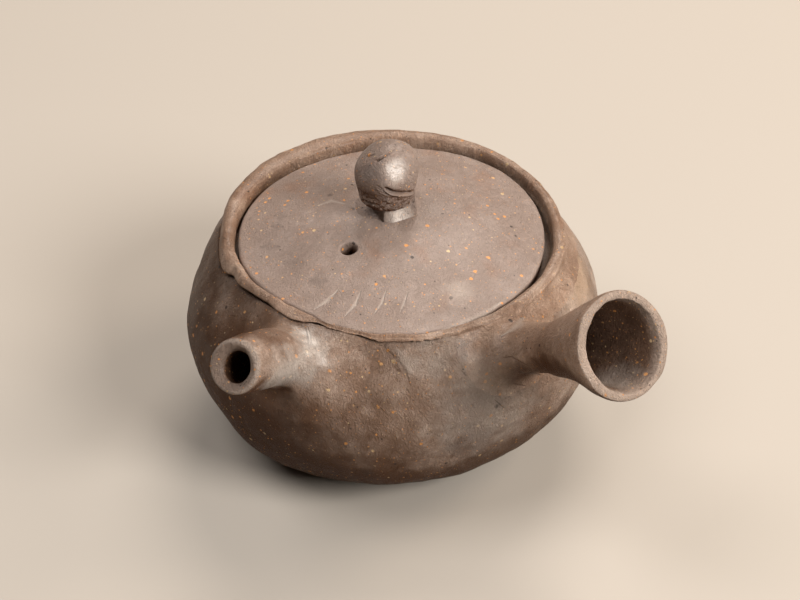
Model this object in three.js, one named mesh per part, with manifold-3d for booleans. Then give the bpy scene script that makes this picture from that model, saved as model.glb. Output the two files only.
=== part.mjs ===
// A hand-built kyusu: a Japanese teapot with a hollow side handle, a short spout and a loose lid.
// Millimetres, +Z up. The origin is the centre of the foot on the table.
// The spout points along -X, and the handle is 73 degrees round from it, towards the user at -Y.
// Each mesh is a piece that the potter forms alone. Pieces joined with slip keep a thin gap here.
import * as THREE from "three";
import { mergeVertices } from "three/addons/utils/BufferGeometryUtils.js";
import Module from "manifold-3d";

const wasm = await Module();
wasm.setup();

const DEG = Math.PI / 180;
const SLIP_GAP = 0.3;
const SEGMENTS = 48;
const LIMB_SIDES = 24;

// Pot: a squat bowl whose outline is one superellipse arc above the belly and another below it.
const BELLY_RADIUS = 52;
const BELLY_Z = 33;
const SHOULDER = { height: 40.9, power: 1.56 };
const UNDERSIDE = { height: 38, power: 2.38 };
const WALL = 4.5;
const WALL_AT_LID = 3.7;
const WALL_TOP_Z = 50.2;
const BASE_THICKNESS = 5;

// Rim coil on top of the wall, which dips on one side, and the ledge inside the wall that the lid stands on.
const COIL = { outer: 43.2, inner: 38.7, bottom: WALL_TOP_Z + SLIP_GAP, top: 54.8 };
const DIP = { depth: 0.8, turn: 213 * DEG };
const SEAT = { inner: 34, top: 48.6, thickness: 2.6 };

// Lid: a domed disc, with a ring below it that keeps it in its seat when the pot is tipped.
const LID = { radius: 37.8, edgeTop: 52.9, underside: SEAT.top + SLIP_GAP, top: 58.4, crownRadius: 8 };
const LID_HOLLOW = { radius: 24, rise: 1.6, roof: 4.6 };
const FLANGE = { outer: 32.2, inner: 28.8, bottom: 42.4, chamfer: 0.9 };
const VENT = { radius: 2, distance: 16.4, turn: 171 * DEG };

// Knob: a folded lump of clay on a square neck, neither of them quite in the middle of the lid.
const KNOB = { x: 0.3, y: 2.6, radius: 8.2, bottom: 63.4, top: 78.2 };
const NECK = { x: 2.2, y: 2.8, width: 9.2, lean: 1, turn: 21 * DEG };

// Spout and handle: where the middle of the mouth is, and how steeply axis, bore and mouth lean, in degrees.
const SPOUT = { turn: 180, reach: 65.6, z: 57, tilt: 25, boreTilt: 35, mouthTilt: 38 };
const HANDLE = { turn: 252.8, reach: 77.5, z: 67, tilt: 31, boreTilt: 31, mouthTilt: 36 };

// Rings along each limb from its mouth back: distance, radius and how far the ring sags.
const SPOUT_OUTSIDE = [
  [0, 6.1], [0.6, 6.4], [5, 6.8], [10, 7.7, 0.4],
  [14, 9.2, 1.1], [17, 11, 1.8], [20, 13.2, 2.6], [26, 15, 3.2],
];
const SPOUT_BORE = [[-1, 4.9], [0.6, 4.2], [11, 4.5], [17, 6.1], [22, 8], [30, 9]];
const HANDLE_OUTSIDE = [
  [0, 11.5], [0.8, 12.1], [6, 10.9], [13, 8.9],
  [20, 7.4, 0.3], [27, 6.6, 0.8], [33, 6.9, 1.3], [38, 8.6, 1.5], [42, 11, 1.5],
];
const HANDLE_BORE = [[-1, 10.4], [0.8, 9.8], [7, 8.4], [14, 6.3], [22, 4.4, 0.4], [30, 3.6, 1], [34, 3.4, 1.3]];

// Strainer: a pierced dome over the hole in the wall that leads to the spout.
const STRAINER = { z: 39.8, radius: 8, thickness: 1.9, holeRadius: 1, lean: 14 * DEG };
const STRAINER_ROWS = [[0, 1], [24, 6], [46, 10]];
const SPOUT_HOLE = { z: 41.2, radius: 3.9 };

// Hand-made unevenness: each row is a number of lobes, their share of the radius and one lobe's angle.
const BODY_WAVES = [[1, 0.018, 94], [2, 0.011, 4], [3, 0.016, -72]];
const WALL_TOP_WAVES = [[1, 0.012, 40], [2, 0.024, 83]];
const COIL_WAVES = [[0, -0.01, 0], [1, 0.047, 40], [2, 0.0245, 83]];
const RIM_IN_WAVES = [[1, 0.012, 90], [3, 0.02, -3]];

function spaced(from, to, count) {
  return Array.from({ length: count + 1 }, (_, i) => from + ((to - from) * i) / count);
}

// The share by which a radius is stretched at this angle round the pot.
function waved(angle, waves) {
  return waves.reduce((sum, [lobes, share, at]) => sum + share * Math.cos(lobes * (angle - at * DEG)), 1);
}

// The pot's outer radius at a height, before the hand-made unevenness.
function outline(z) {
  const arc = z > BELLY_Z ? SHOULDER : UNDERSIDE;
  const share = Math.abs(z - BELLY_Z) / arc.height;
  return BELLY_RADIUS * (1 - share ** arc.power) ** (1 / arc.power);
}

// The pot's unevenness: the body's own waves, changing to those of the rim over the last of the shoulder.
function potWaves(angle, radius, z) {
  const rim = radius > outline(z) - WALL / 2 ? WALL_TOP_WAVES : RIM_IN_WAVES;
  const share = THREE.MathUtils.smoothstep(z, 38, WALL_TOP_Z - 2);
  return THREE.MathUtils.lerp(waved(angle, BODY_WAVES), waved(angle, rim), share);
}

// The coil's unevenness outside: that of the wall at its foot, and its own from a little higher up.
function coilWaves(angle, radius, z) {
  const share = THREE.MathUtils.smoothstep(z, COIL.bottom, COIL.bottom + 2);
  return THREE.MathUtils.lerp(waved(angle, WALL_TOP_WAVES), waved(angle, COIL_WAVES), share);
}

// A point [radius, z] on the pot's outline, moved in square to the wall by a depth.
function insideOutline(z, depth) {
  const step = 0.1;
  const slope = (outline(z + step) - outline(z - step)) / (2 * step);
  const length = Math.hypot(1, slope);
  return [outline(z) - depth / length, z + (depth * slope) / length];
}

// A solid of revolution about Z from a profile of [radius, z] points, its radii waved and its heights lifted.
function revolved(profile, waves = () => 1, lift = () => 0) {
  const turned = new THREE.LatheGeometry(profile.map(([r, z]) => new THREE.Vector2(r, z)), SEGMENTS);
  turned.rotateX(Math.PI / 2);
  const at = turned.attributes.position;
  for (let i = 0; i < at.count; i++) {
    const radius = Math.hypot(at.getX(i), at.getY(i));
    const angle = Math.atan2(at.getY(i), at.getX(i));
    const share = waves(angle, radius, at.getZ(i));
    at.setXYZ(i, at.getX(i) * share, at.getY(i) * share, at.getZ(i) + lift(angle, radius));
  }
  return turned;
}

// A closed mesh as a solid that can be joined and cut, with its faces turned outwards.
function solid(geometry) {
  const bare = geometry.clone();
  bare.deleteAttribute("normal");
  bare.deleteAttribute("uv");
  const merged = mergeVertices(bare, 1e-4);
  const triVerts = new Uint32Array(merged.index.array);
  const vertProperties = merged.attributes.position.array;
  const build = () => new wasm.Manifold(new wasm.Mesh({ numProp: 3, vertProperties, triVerts }));
  const made = build();
  if (made.volume() > 0) return made;
  for (let i = 0; i < triVerts.length; i += 3) {
    [triVerts[i], triVerts[i + 1]] = [triVerts[i + 1], triVerts[i]];
  }
  return build();
}

function geometryOf(cutSolid) {
  const { vertProperties, triVerts } = cutSolid.getMesh();
  const geometry = new THREE.BufferGeometry();
  geometry.setAttribute("position", new THREE.BufferAttribute(vertProperties, 3));
  geometry.setIndex(new THREE.BufferAttribute(triVerts, 1));
  geometry.computeVertexNormals();
  return geometry;
}

function largestPiece(cutSolid) {
  return cutSolid.decompose().sort((a, b) => b.volume() - a.volume())[0];
}

// Rings of equal point counts joined into one skin, with a cap on the first ring and on the last.
function skinned(rings) {
  const sides = rings[0].length;
  const points = rings.flat();
  const faces = [];
  for (let i = 0; i < rings.length - 1; i++) {
    for (let j = 0; j < sides; j++) {
      const [a, b] = [i * sides + j, i * sides + ((j + 1) % sides)];
      faces.push(a, b, a + sides, b, b + sides, a + sides);
    }
  }
  for (const end of [0, rings.length - 1]) {
    const centre = rings[end].reduce((sum, p) => sum.addScaledVector(p, 1 / sides), new THREE.Vector3());
    points.push(centre);
    for (let j = 0; j < sides; j++) {
      const [a, b] = [end * sides + j, end * sides + ((j + 1) % sides)];
      faces.push(points.length - 1, ...(end === 0 ? [b, a] : [a, b]));
    }
  }
  const geometry = new THREE.BufferGeometry().setFromPoints(points);
  geometry.setIndex(faces);
  return geometry;
}

// A ring of points about a centre, square to a direction that rises by tilt towards the angle turn.
function ring(centre, turn, tilt, radius) {
  const side = new THREE.Vector3(-Math.sin(turn), Math.cos(turn), 0);
  const inward = new THREE.Vector3(-Math.cos(turn), -Math.sin(turn), 0);
  const up = inward.multiplyScalar(Math.sin(tilt)).setZ(Math.cos(tilt));
  const angles = spaced(0, 2 * Math.PI, LIMB_SIDES).slice(0, -1);
  return angles.map((a) =>
    centre.clone().addScaledVector(side, radius * Math.cos(a)).addScaledVector(up, radius * Math.sin(a)));
}

// The whole pot as a plain filled form, grown or shrunk by depth: it trims what is joined to the wall.
function potForm(depth, fromZ, toZ) {
  const side = spaced(fromZ, toZ, 22).map((z) => insideOutline(z, depth));
  return solid(revolved([[0, side[0][1]], ...side, [0, side.at(-1)[1]]], potWaves));
}

// The rim as a plain filled form, grown by the slip gap: it trims what leans against the coil.
function rimForm() {
  const outer = COIL.outer + SLIP_GAP;
  const bottom = COIL.bottom - 2;
  const top = COIL.top + DIP.depth + SLIP_GAP;
  const side = [[outer - 1.5, bottom], [outer, bottom + 1.4], [outer, top - 2.4], [outer - 2, top]];
  return solid(revolved([[0, bottom], ...side, [0, top]], coilWaves));
}

// A hollow limb, from the rings outside and in its bore, cut off where it meets the wall and the rim.
function limb(spec, outside, bore) {
  const turn = spec.turn * DEG;
  const away = new THREE.Vector3(Math.cos(turn), Math.sin(turn), 0);
  const mouth = away.clone().multiplyScalar(spec.reach).setZ(spec.z);
  const tube = (rows, tilt) => skinned(rows.map(([depth, radius, sag = 0]) => {
    const centre = mouth.clone().addScaledVector(away, -depth * Math.cos(tilt * DEG));
    centre.z -= depth * Math.sin(tilt * DEG) + sag;
    const lean = THREE.MathUtils.lerp(spec.mouthTilt, tilt, Math.min(1, depth / 8));
    return ring(centre, turn, lean * DEG, radius);
  }));
  const hollow = solid(tube(outside, spec.tilt)).subtract(solid(tube(bore, spec.boreTilt)));
  return geometryOf(largestPiece(hollow.subtract(potForm(-SLIP_GAP, 0, WALL_TOP_Z)).subtract(rimForm())));
}

// Base: a disc pressed flat, whose edge turns up into the wall.
function baseSlab() {
  const top = BASE_THICKNESS - SLIP_GAP;
  const edge = spaced(0, top, 4).map((z) => [outline(z), z]);
  return revolved([[0, 0], ...edge, [0, top]], potWaves);
}

// Wall: coils pinched into a bowl, open at the top and pierced for the spout.
function bodyWall() {
  const outer = spaced(BASE_THICKNESS, WALL_TOP_Z, 15).map((height) => [outline(height), height]);
  const thickness = (height) => (height > SEAT.top ? WALL_AT_LID : WALL);
  const within = (height) => [outline(height) - thickness(height), height];
  const inner = spaced(BASE_THICKNESS + 3, WALL_TOP_Z, 13).map(within);
  const inside = [[outline(BASE_THICKNESS) - WALL - 2, BASE_THICKNESS], ...inner];
  const bowl = solid(revolved([...outer, ...inside.reverse(), outer[0]], potWaves));
  const { radius, z } = SPOUT_HOLE;
  const drill = new THREE.CylinderGeometry(radius, radius, BELLY_RADIUS / 2, LIMB_SIDES);
  drill.rotateZ(Math.PI / 2).translate(-BELLY_RADIUS, 0, z);
  return geometryOf(bowl.subtract(solid(drill)));
}

// Rim: one coil laid on the wall, uneven in width and height, its section a rounded bead.
function rimCoil() {
  const middle = (COIL.outer + COIL.inner) / 2;
  const half = (COIL.outer - COIL.inner) / 2;
  const height = COIL.top - COIL.bottom;
  const arch = (a) => [middle + half * Math.cos(a), COIL.bottom + height * Math.sin(a) ** 0.7];
  const bead = spaced(0, Math.PI, 8).map(arch);
  const share = (a, r, z) => (r > middle ? coilWaves(a, r, z) : waved(a, RIM_IN_WAVES));
  const onTop = (radius) => Math.abs(radius - middle) < half - 1;
  const lift = (angle, radius) => (onTop(radius) ? -DIP.depth * Math.cos(angle - DIP.turn) : 0);
  return revolved([...bead, bead[0]], share, lift);
}

// Ledge: a ring inside the top of the wall. The lid stands on it.
function lidSeat() {
  const bottom = SEAT.top - SEAT.thickness;
  const outer = outline(SEAT.top) - WALL - 1.2;
  const section = [[SEAT.inner, bottom], [outer + 0.6, bottom], [outer, SEAT.top], [SEAT.inner, SEAT.top]];
  return revolved([...section, section[0]], (a, r) => (r > SEAT.inner + 1 ? waved(a, RIM_IN_WAVES) : 1));
}

// Strainer: a dome on the inside of the wall, pierced in rows that fan out from a pole that leans down.
function strainer() {
  const wallX = -(outline(STRAINER.z) - WALL) * waved(Math.PI, BODY_WAVES);
  const ball = (radius) => solid(new THREE.SphereGeometry(radius, 24, 14).translate(wallX, 0, STRAINER.z));
  const room = potForm(WALL + 1.5 * SLIP_GAP, BASE_THICKNESS + 6, SEAT.top);
  let dome = ball(STRAINER.radius).subtract(ball(STRAINER.radius - STRAINER.thickness)).intersect(room);
  for (const [fromPole, count] of STRAINER_ROWS) {
    for (let i = 0; i < count; i++) {
      const pin = new THREE.CylinderGeometry(STRAINER.holeRadius, STRAINER.holeRadius, STRAINER.radius, 8);
      pin.translate(0, STRAINER.radius, 0).rotateZ(-Math.PI / 2).rotateZ(fromPole * DEG);
      pin.rotateX((2 * Math.PI * i) / count).rotateY(STRAINER.lean).translate(wallX, 0, STRAINER.z);
      dome = dome.subtract(solid(pin));
    }
  }
  return geometryOf(largestPiece(dome));
}

// Lid plate: a disc domed by hand to a small flat crown, with the vent towards the spout.
function lidPlate() {
  const dome = spaced(LID.crownRadius, LID.radius - 1.2, 8).map((r) => {
    const share = (r - LID.crownRadius) / (LID.radius - LID.crownRadius);
    return [r, LID.edgeTop + (LID.top - LID.edgeTop) * Math.cos((share * Math.PI) / 2) ** 1.15];
  });
  const edge = [[LID.radius, LID.edgeTop - 1.2], [LID.radius - 0.4, LID.underside]];
  const hollow = [
    [FLANGE.outer + 0.4, LID.underside],
    [LID_HOLLOW.radius, LID.underside + LID_HOLLOW.rise],
    [0, LID.top - LID_HOLLOW.roof],
  ];
  const section = [[0, LID.top], ...dome, ...edge, ...hollow].reverse();
  const disc = solid(revolved(section, (a, r) => 1 + (waved(a, RIM_IN_WAVES) - 1) * (r / LID.radius) ** 3));
  const vent = new THREE.CylinderGeometry(VENT.radius, VENT.radius, 20, 16).rotateX(Math.PI / 2);
  vent.translate(VENT.distance * Math.cos(VENT.turn), VENT.distance * Math.sin(VENT.turn), LID.edgeTop);
  return geometryOf(disc.subtract(solid(vent)));
}

// Flange: the ring under the lid plate, with its lower outside edge eased.
function lidFlange() {
  const top = LID.underside - SLIP_GAP;
  const section = [
    [FLANGE.inner, FLANGE.bottom],
    [FLANGE.outer - FLANGE.chamfer, FLANGE.bottom],
    [FLANGE.outer, FLANGE.bottom + FLANGE.chamfer],
    [FLANGE.outer, top],
    [FLANGE.inner, top],
  ];
  return revolved([...section, section[0]]);
}

// Knob neck: four knife-cut sides that lean in a little.
function knobNeck() {
  const bottom = LID.top + SLIP_GAP;
  const top = KNOB.bottom - SLIP_GAP;
  const corner = NECK.width / Math.SQRT2;
  const neck = new THREE.CylinderGeometry(corner - NECK.lean / Math.SQRT2, corner, top - bottom, 4);
  return neck.rotateX(Math.PI / 2).rotateZ(NECK.turn).translate(NECK.x, NECK.y, (top + bottom) / 2);
}

// Knob head: an uneven lump with a flat underside.
function knobHead() {
  const flatAt = -55 * DEG;
  const middle = KNOB.bottom + (KNOB.top - KNOB.bottom) * 0.47;
  const side = spaced(flatAt, Math.PI / 2, 10).slice(0, -1).map((a) => {
    const half = a < 0 ? (middle - KNOB.bottom) / Math.sin(-flatAt) : KNOB.top - middle;
    return [KNOB.radius * Math.cos(a) ** 0.85, middle + half * Math.sin(a)];
  });
  const lumps = (a) => 1 + 0.04 * Math.cos(2 * a - 0.6) - 0.03 * Math.cos(3 * a);
  return revolved([[0, KNOB.bottom], ...side, [0, KNOB.top]], lumps).translate(KNOB.x, KNOB.y, 0);
}

const clay = (color, roughness) => new THREE.MeshStandardMaterial({ color, roughness, metalness: 0 });
const BODY_CLAY = clay(0x6f5a4c, 0.62);
const LID_CLAY = clay(0x8a756a, 0.7);
const HANDLE_CLAY = clay(0x63503f, 0.55);

const pot = new THREE.Group();
const lid = new THREE.Group();
for (const [group, name, geometry, material] of [
  [pot, "base_slab", baseSlab(), BODY_CLAY],
  [pot, "body_wall", bodyWall(), BODY_CLAY],
  [pot, "rim_coil", rimCoil(), BODY_CLAY],
  [pot, "lid_seat", lidSeat(), BODY_CLAY],
  [pot, "spout", limb(SPOUT, SPOUT_OUTSIDE, SPOUT_BORE), BODY_CLAY],
  [pot, "strainer", strainer(), BODY_CLAY],
  [pot, "handle", limb(HANDLE, HANDLE_OUTSIDE, HANDLE_BORE), HANDLE_CLAY],
  [lid, "lid_plate", lidPlate(), LID_CLAY],
  [lid, "lid_flange", lidFlange(), LID_CLAY],
  [lid, "knob_neck", knobNeck(), LID_CLAY],
  [lid, "knob_head", knobHead(), LID_CLAY],
]) {
  const mesh = new THREE.Mesh(geometry, material);
  mesh.name = name;
  group.add(mesh);
}

const kyusu = new THREE.Group();
kyusu.add(pot, lid);
export default kyusu;
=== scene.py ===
# %% [markdown]
# # A hand-built clay teapot with a side handle
#
# The potter makes this pot without a wheel: a pressed foot, a wall pinched up from coils, one more
# coil as a rim, a rolled spout, a hollow flared handle and a lid with a knob. Each is a piece here
# too. The notebook loads the measured frame first, and then gives every piece its real surface.

# %% Load the frame
import math

import bmesh
import bpy
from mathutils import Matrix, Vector, noise
from mathutils.bvhtree import BVHTree


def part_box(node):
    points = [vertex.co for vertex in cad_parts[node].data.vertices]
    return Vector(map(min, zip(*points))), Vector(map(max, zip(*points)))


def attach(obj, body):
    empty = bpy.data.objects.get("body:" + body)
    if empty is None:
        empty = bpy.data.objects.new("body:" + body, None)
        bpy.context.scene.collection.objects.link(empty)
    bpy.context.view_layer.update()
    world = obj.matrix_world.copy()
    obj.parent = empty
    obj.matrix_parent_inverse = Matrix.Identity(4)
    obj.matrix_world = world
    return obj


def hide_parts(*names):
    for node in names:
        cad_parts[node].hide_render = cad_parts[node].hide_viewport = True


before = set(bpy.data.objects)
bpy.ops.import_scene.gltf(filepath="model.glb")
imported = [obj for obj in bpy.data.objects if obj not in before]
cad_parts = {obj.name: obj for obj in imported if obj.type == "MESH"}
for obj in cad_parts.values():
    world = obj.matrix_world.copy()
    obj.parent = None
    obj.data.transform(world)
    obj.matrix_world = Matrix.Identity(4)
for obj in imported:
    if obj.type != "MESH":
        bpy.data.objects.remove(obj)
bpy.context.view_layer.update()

# %% [markdown]
# ## The camera, the floor and the light
#
# A camera could be set by eye, but this one was fitted to the outlines of the real pot, so it stands
# a little under 40 degrees above the table. The studio is plain: a pale floor and four soft lamps.
# The key lamp is on the handle's side and shines along the front, one at the right and one behind
# draw the edges, and one high at the back left fills the shade, so that forms turn softly.

# %% Camera
CAMERA_PLACE = (-0.3138, -0.2038, 0.3327)
LENS_MM = 85.1
SENSOR_MM = 36
TARGET = Vector((0.00073, -0.00113, 0.03198))


def aimed(name, data, place):
    """Stands a camera or a lamp at a place and points it at the pot."""
    stand = bpy.data.objects.new(name, data)
    stand.location = place
    stand.rotation_euler = (TARGET - stand.location).to_track_quat("-Z", "Y").to_euler()
    bpy.context.scene.collection.objects.link(stand)
    return stand


camera = aimed("camera", bpy.data.cameras.new("camera"), CAMERA_PLACE)
camera.data.lens = LENS_MM
camera.data.sensor_width = SENSOR_MM
bpy.context.scene.camera = camera
print("camera", round((TARGET - camera.location).length * 1000), "mm away")

# %% Floor and light
FLOOR_HALF = 4.0
FLOOR_COLOUR = (0.43, 0.385, 0.335)
FILL_COLOUR = (1.0, 0.85, 0.7, 1)
FILL_STRENGTH = 0.04
# Each lamp: its place and size in metres, its power in watts and its colour.
LAMPS = {
    "key": ((-0.1, -0.9, 0.7), 0.5, 15.0, (1.0, 0.97, 0.93)),
    "right": ((0.78, -0.58, 0.69), 0.5, 5.6, (1.0, 0.86, 0.72)),
    "back": ((0.69, 0.25, 0.91), 0.6, 8.5, (1.0, 0.92, 0.84)),
    "high": ((-0.35, 0.42, 1.08), 0.7, 7.5, (1.0, 0.97, 0.95)),
}


def plain_colour(name, colour, roughness):
    """A material with a very soft drift in its tone."""
    made = bpy.data.materials.new(name)
    made.use_nodes = True
    nodes, links = made.node_tree.nodes, made.node_tree.links
    shader = nodes["Principled BSDF"]
    shader.inputs["Roughness"].default_value = roughness
    drift = nodes.new("ShaderNodeTexNoise")
    drift.inputs["Scale"].default_value = 1.5
    tone = nodes.new("ShaderNodeMix")
    tone.data_type = "RGBA"
    tone.inputs["A"].default_value = (*colour, 1)
    tone.inputs["B"].default_value = (*[c * 0.97 for c in colour], 1)
    place = nodes.new("ShaderNodeTexCoord")
    links.new(place.outputs["Object"], drift.inputs["Vector"])
    links.new(drift.outputs["Fac"], tone.inputs["Factor"])
    links.new(tone.outputs["Result"], shader.inputs["Base Color"])
    return made


sheet = bmesh.new()
bmesh.ops.create_grid(sheet, x_segments=2, y_segments=2, size=FLOOR_HALF)
floor_mesh = bpy.data.meshes.new("floor")
sheet.to_mesh(floor_mesh)
sheet.free()
floor = bpy.data.objects.new("floor", floor_mesh)
floor_mesh.materials.append(plain_colour("pale_floor", FLOOR_COLOUR, 0.8))
bpy.context.scene.collection.objects.link(floor)

for name, (place, size, power, colour) in LAMPS.items():
    light = bpy.data.lights.new(name, "AREA")
    light.shape = "DISK"
    light.size = size
    light.energy = power
    light.color = colour
    aimed(name, light, place)

world = bpy.data.worlds.new("studio")
world.use_nodes = True
world.node_tree.nodes["Background"].inputs["Color"].default_value = FILL_COLOUR
world.node_tree.nodes["Background"].inputs["Strength"].default_value = FILL_STRENGTH
bpy.context.scene.world = world
bpy.context.scene.view_settings.view_transform = "Standard"
print("floor and", len(LAMPS), "lamps")

# %% [markdown]
# ## The pot's outline and its unevenness
#
# Everything that touches the wall needs to know where the wall is. A clean outline gives the radius
# at each height. A few slow waves round the pot bend it out of true, as fingers did, and a table of
# stops round the pot says how a size changes from one side to the other.

# %% Outline
MM = 0.001
TURN = 2 * math.pi
UP = Vector((0, 0, 1))
BELLY_RADIUS = 52.0
BELLY_Z = 33.0
# How tall the curve above or below the belly is, and how square its corner is.
SHOULDER = (40.9, 1.56)
UNDERSIDE = (38.0, 2.38)


def box_mm(node):
    """The corners of a node's box, in millimetres."""
    low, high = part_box(node)
    return low / MM, high / MM


JOINT_Z = (box_mm("base_slab")[1].z + box_mm("body_wall")[0].z) / 2
WALL_TOP_Z = box_mm("body_wall")[1].z


def outward(angle):
    """The level direction away from the pot's middle at an angle."""
    return Vector((math.cos(angle), math.sin(angle), 0))


def mix(a, b, share):
    """a at a share of 0, b at 1."""
    return a + (b - a) * share


def smooth(x, low, high):
    """0 up to low, 1 from high on, and an even ease between."""
    share = min(1.0, max(0.0, (x - low) / (high - low)))
    return share * share * (3 - 2 * share)


def outline(z):
    """The radius of the pot's clean outside at a height."""
    height, power = SHOULDER if z > BELLY_Z else UNDERSIDE
    share = min(abs(z - BELLY_Z) / height, 0.999)
    return BELLY_RADIUS * (1 - share**power) ** (1 / power)


print("radius at the foot", round(outline(0), 1), "and under the rim", round(outline(WALL_TOP_Z), 1))

# %% Waves and stops
# Each wave: how many lobes it has, its share of the radius, and where it is highest, in degrees.
BODY_WAVES = [(1, 0.018, 94), (2, 0.011, 4), (3, 0.016, -72)]
WALL_TOP_WAVES = [(1, 0.012, 40), (2, 0.024, 83)]
RIM_IN_WAVES = [(1, 0.012, 90), (3, 0.02, -3)]
COIL_WAVES = [(1, 0.047, 40), (2, 0.0245, 83)]


def waved(angle, waves):
    """How many times its clean size the pot is at an angle."""
    return 1 + sum(share * math.cos(lobes * (angle - math.radians(at))) for lobes, share, at in waves)


def along(stops, x):
    """The value at x on a smooth line through (x, value) stops, which never overshoots them."""
    if x <= stops[0][0]:
        return stops[0][1]
    if x >= stops[-1][0]:
        return stops[-1][1]
    i = next(k for k, stop in enumerate(stops) if stop[0] > x)

    def grade(k):
        k = min(max(k, 0), len(stops) - 2)
        return (stops[k + 1][1] - stops[k][1]) / (stops[k + 1][0] - stops[k][0])

    def slope(k):
        before, after = grade(k - 1), grade(k)
        return 0.0 if before * after <= 0 else 2 * before * after / (before + after)

    (x1, y1), (x2, y2) = stops[i - 1], stops[i]
    width = x2 - x1
    t = (x - x1) / width
    a, b = slope(i - 1) * width, slope(i) * width
    return (
        y1 * (1 + 2 * t) * (1 - t) ** 2
        + a * t * (1 - t) ** 2
        + y2 * t * t * (3 - 2 * t)
        + b * t * t * (t - 1)
    )


def around(stops, angle):
    """The value at an angle on a smooth closed line through (degrees, value) stops."""
    stops = sorted(stops)
    before = [(at - 360, value) for at, value in stops[-3:]]
    after = [(at + 360, value) for at, value in stops[:3]]
    return along(before + stops + after, math.degrees(angle) % 360)


bulge = 100 * (waved(math.radians(90), BODY_WAVES) - 1)
print("the body stands out", round(bulge, 1), "% opposite the handle")

# %% [markdown]
# ## The touch of hands
#
# A turned pot would be smooth. This one keeps the dents of fingers, the dabs of a wet thumb and the
# faint ridges of a scraping tool. They could be painted as bump only, but the larger ones change the
# outline and catch the light, so they go into the mesh. Noise at four sizes gives the depth.

# %% Finger marks
# The marks at four sizes: how far they stand proud and how wide they are, in mm.
DENTS, DABS, RIDGES, SPECKS = (0.62, 15), (0.2, 6.5), (0.22, 4.6), (0.07, 2.2)


def hand_marks(point, amount=1.0):
    """How far the clay stands proud of the clean form at a point, in millimetres."""
    tall = Vector((point.x, point.y, point.z * 0.4))
    dents = DENTS[0] * noise.noise(point / DENTS[1])
    dabs = DABS[0] * noise.noise(point / DABS[1] + Vector((9, 2, 5)))
    ridges = RIDGES[0] * noise.noise(tall / RIDGES[1] + Vector((3, 8, 1)))
    specks = SPECKS[0] * noise.noise(point / SPECKS[1])
    return amount * (dents + dabs + ridges + specks)


# How far the wall's top is pulled up, in mm, at stops round the pot in degrees, and from what level.
RISE_FROM_Z = 44
RISE = [
    (90, 0.0), (135, 0.3), (150, 1.2), (165, 1.8), (180, 2.2), (186, 2.6), (195, 2.5),
    (213, 2.2), (250, 2.2), (290, 1.6), (330, 0.6), (30, 0.0),
]
rises = [around(RISE, math.radians(degree)) for degree in range(361)]


def rise(angle):
    """How far the wall's top is pulled up over the front."""
    place = math.degrees(angle) % 360
    return mix(rises[int(place)], rises[int(place) + 1], place % 1)


def near_top(z):
    """0 on the body and 1 just below the wall's top, where the waves of the top take over."""
    return smooth(z, 38, WALL_TOP_Z - 2)


def body_skin(angle, z, depth=0.0, marks=1.0):
    """A point on the outside of the pot, or a depth inside it, with its finger marks."""
    stretch = mix(waved(angle, BODY_WAVES), waved(angle, WALL_TOP_WAVES), near_top(z))
    lifted = z + rise(angle) * smooth(z, RISE_FROM_Z, WALL_TOP_Z)
    step = 0.2
    slope = (outline(lifted + step) - outline(lifted - step)) / (2 * step)
    out = outward(angle)
    normal = (out - UP * slope).normalized()
    point = out * outline(lifted) * stretch + UP * lifted
    return point + normal * (hand_marks(point, marks) * smooth(z, 0, 3) - depth)


deepest = max(abs(hand_marks(Vector((x, 3, 7)))) for x in range(99))
print("finger marks up to about", round(deepest, 2), "mm")

# %% [markdown]
# ## Turning a section into a piece
#
# Blender's spin turns a section round an axis. Many steps are slow, so 36 come first, and the hoops
# between them are cut finer afterwards. Each point remembers its row in a layer, and then moves to
# its true place, column by column. A piece is finished by one helper that scales it to metres,
# shades it smooth, hangs it on its body and hides the frame's part that it replaces.

# %% A turned band
SPIN_STEPS = 36


def turned(row_count, cuts, poles=(False, False)):
    """A closed band of rows round Z: row 0 joins the last row, or an end row is a single pole."""
    bm = bmesh.new()
    row = bm.verts.layers.float.new("row")
    verts = []
    for i in range(row_count):
        at_pole = (i == 0 and poles[0]) or (i == row_count - 1 and poles[1])
        vert = bm.verts.new((0 if at_pole else 10 + i, 0, i))
        vert[row] = i
        verts.append(vert)
    pairs = list(zip(verts, verts[1:]))
    if not any(poles):
        pairs.append((verts[-1], verts[0]))
    edges = [bm.edges.new(pair) for pair in pairs]
    turning = {"cent": (0, 0, 0), "axis": UP, "angle": TURN, "steps": SPIN_STEPS}
    bmesh.ops.spin(bm, geom=verts + edges, use_merge=True, **turning)
    bmesh.ops.remove_doubles(bm, verts=bm.verts, dist=1e-4)
    hoops = [e for e in bm.edges if round(e.verts[0][row]) == round(e.verts[1][row])]
    bmesh.ops.subdivide_edges(bm, edges=hoops, cuts=cuts, use_grid_fill=True)
    return bm


def reshape(bm, cuts, column_at):
    """Moves every point to column_at(angle)[its row]."""
    row = bm.verts.layers.float["row"]
    columns = SPIN_STEPS * (cuts + 1)
    made = {}
    for vert in bm.verts:
        number = round(math.atan2(vert.co.y, vert.co.x) / TURN * columns) % columns
        if number not in made:
            made[number] = column_at(number * TURN / columns)
        vert.co = made[number][round(vert[row])]
    bm.normal_update()
    return bm


print("spin steps", SPIN_STEPS)


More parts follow.
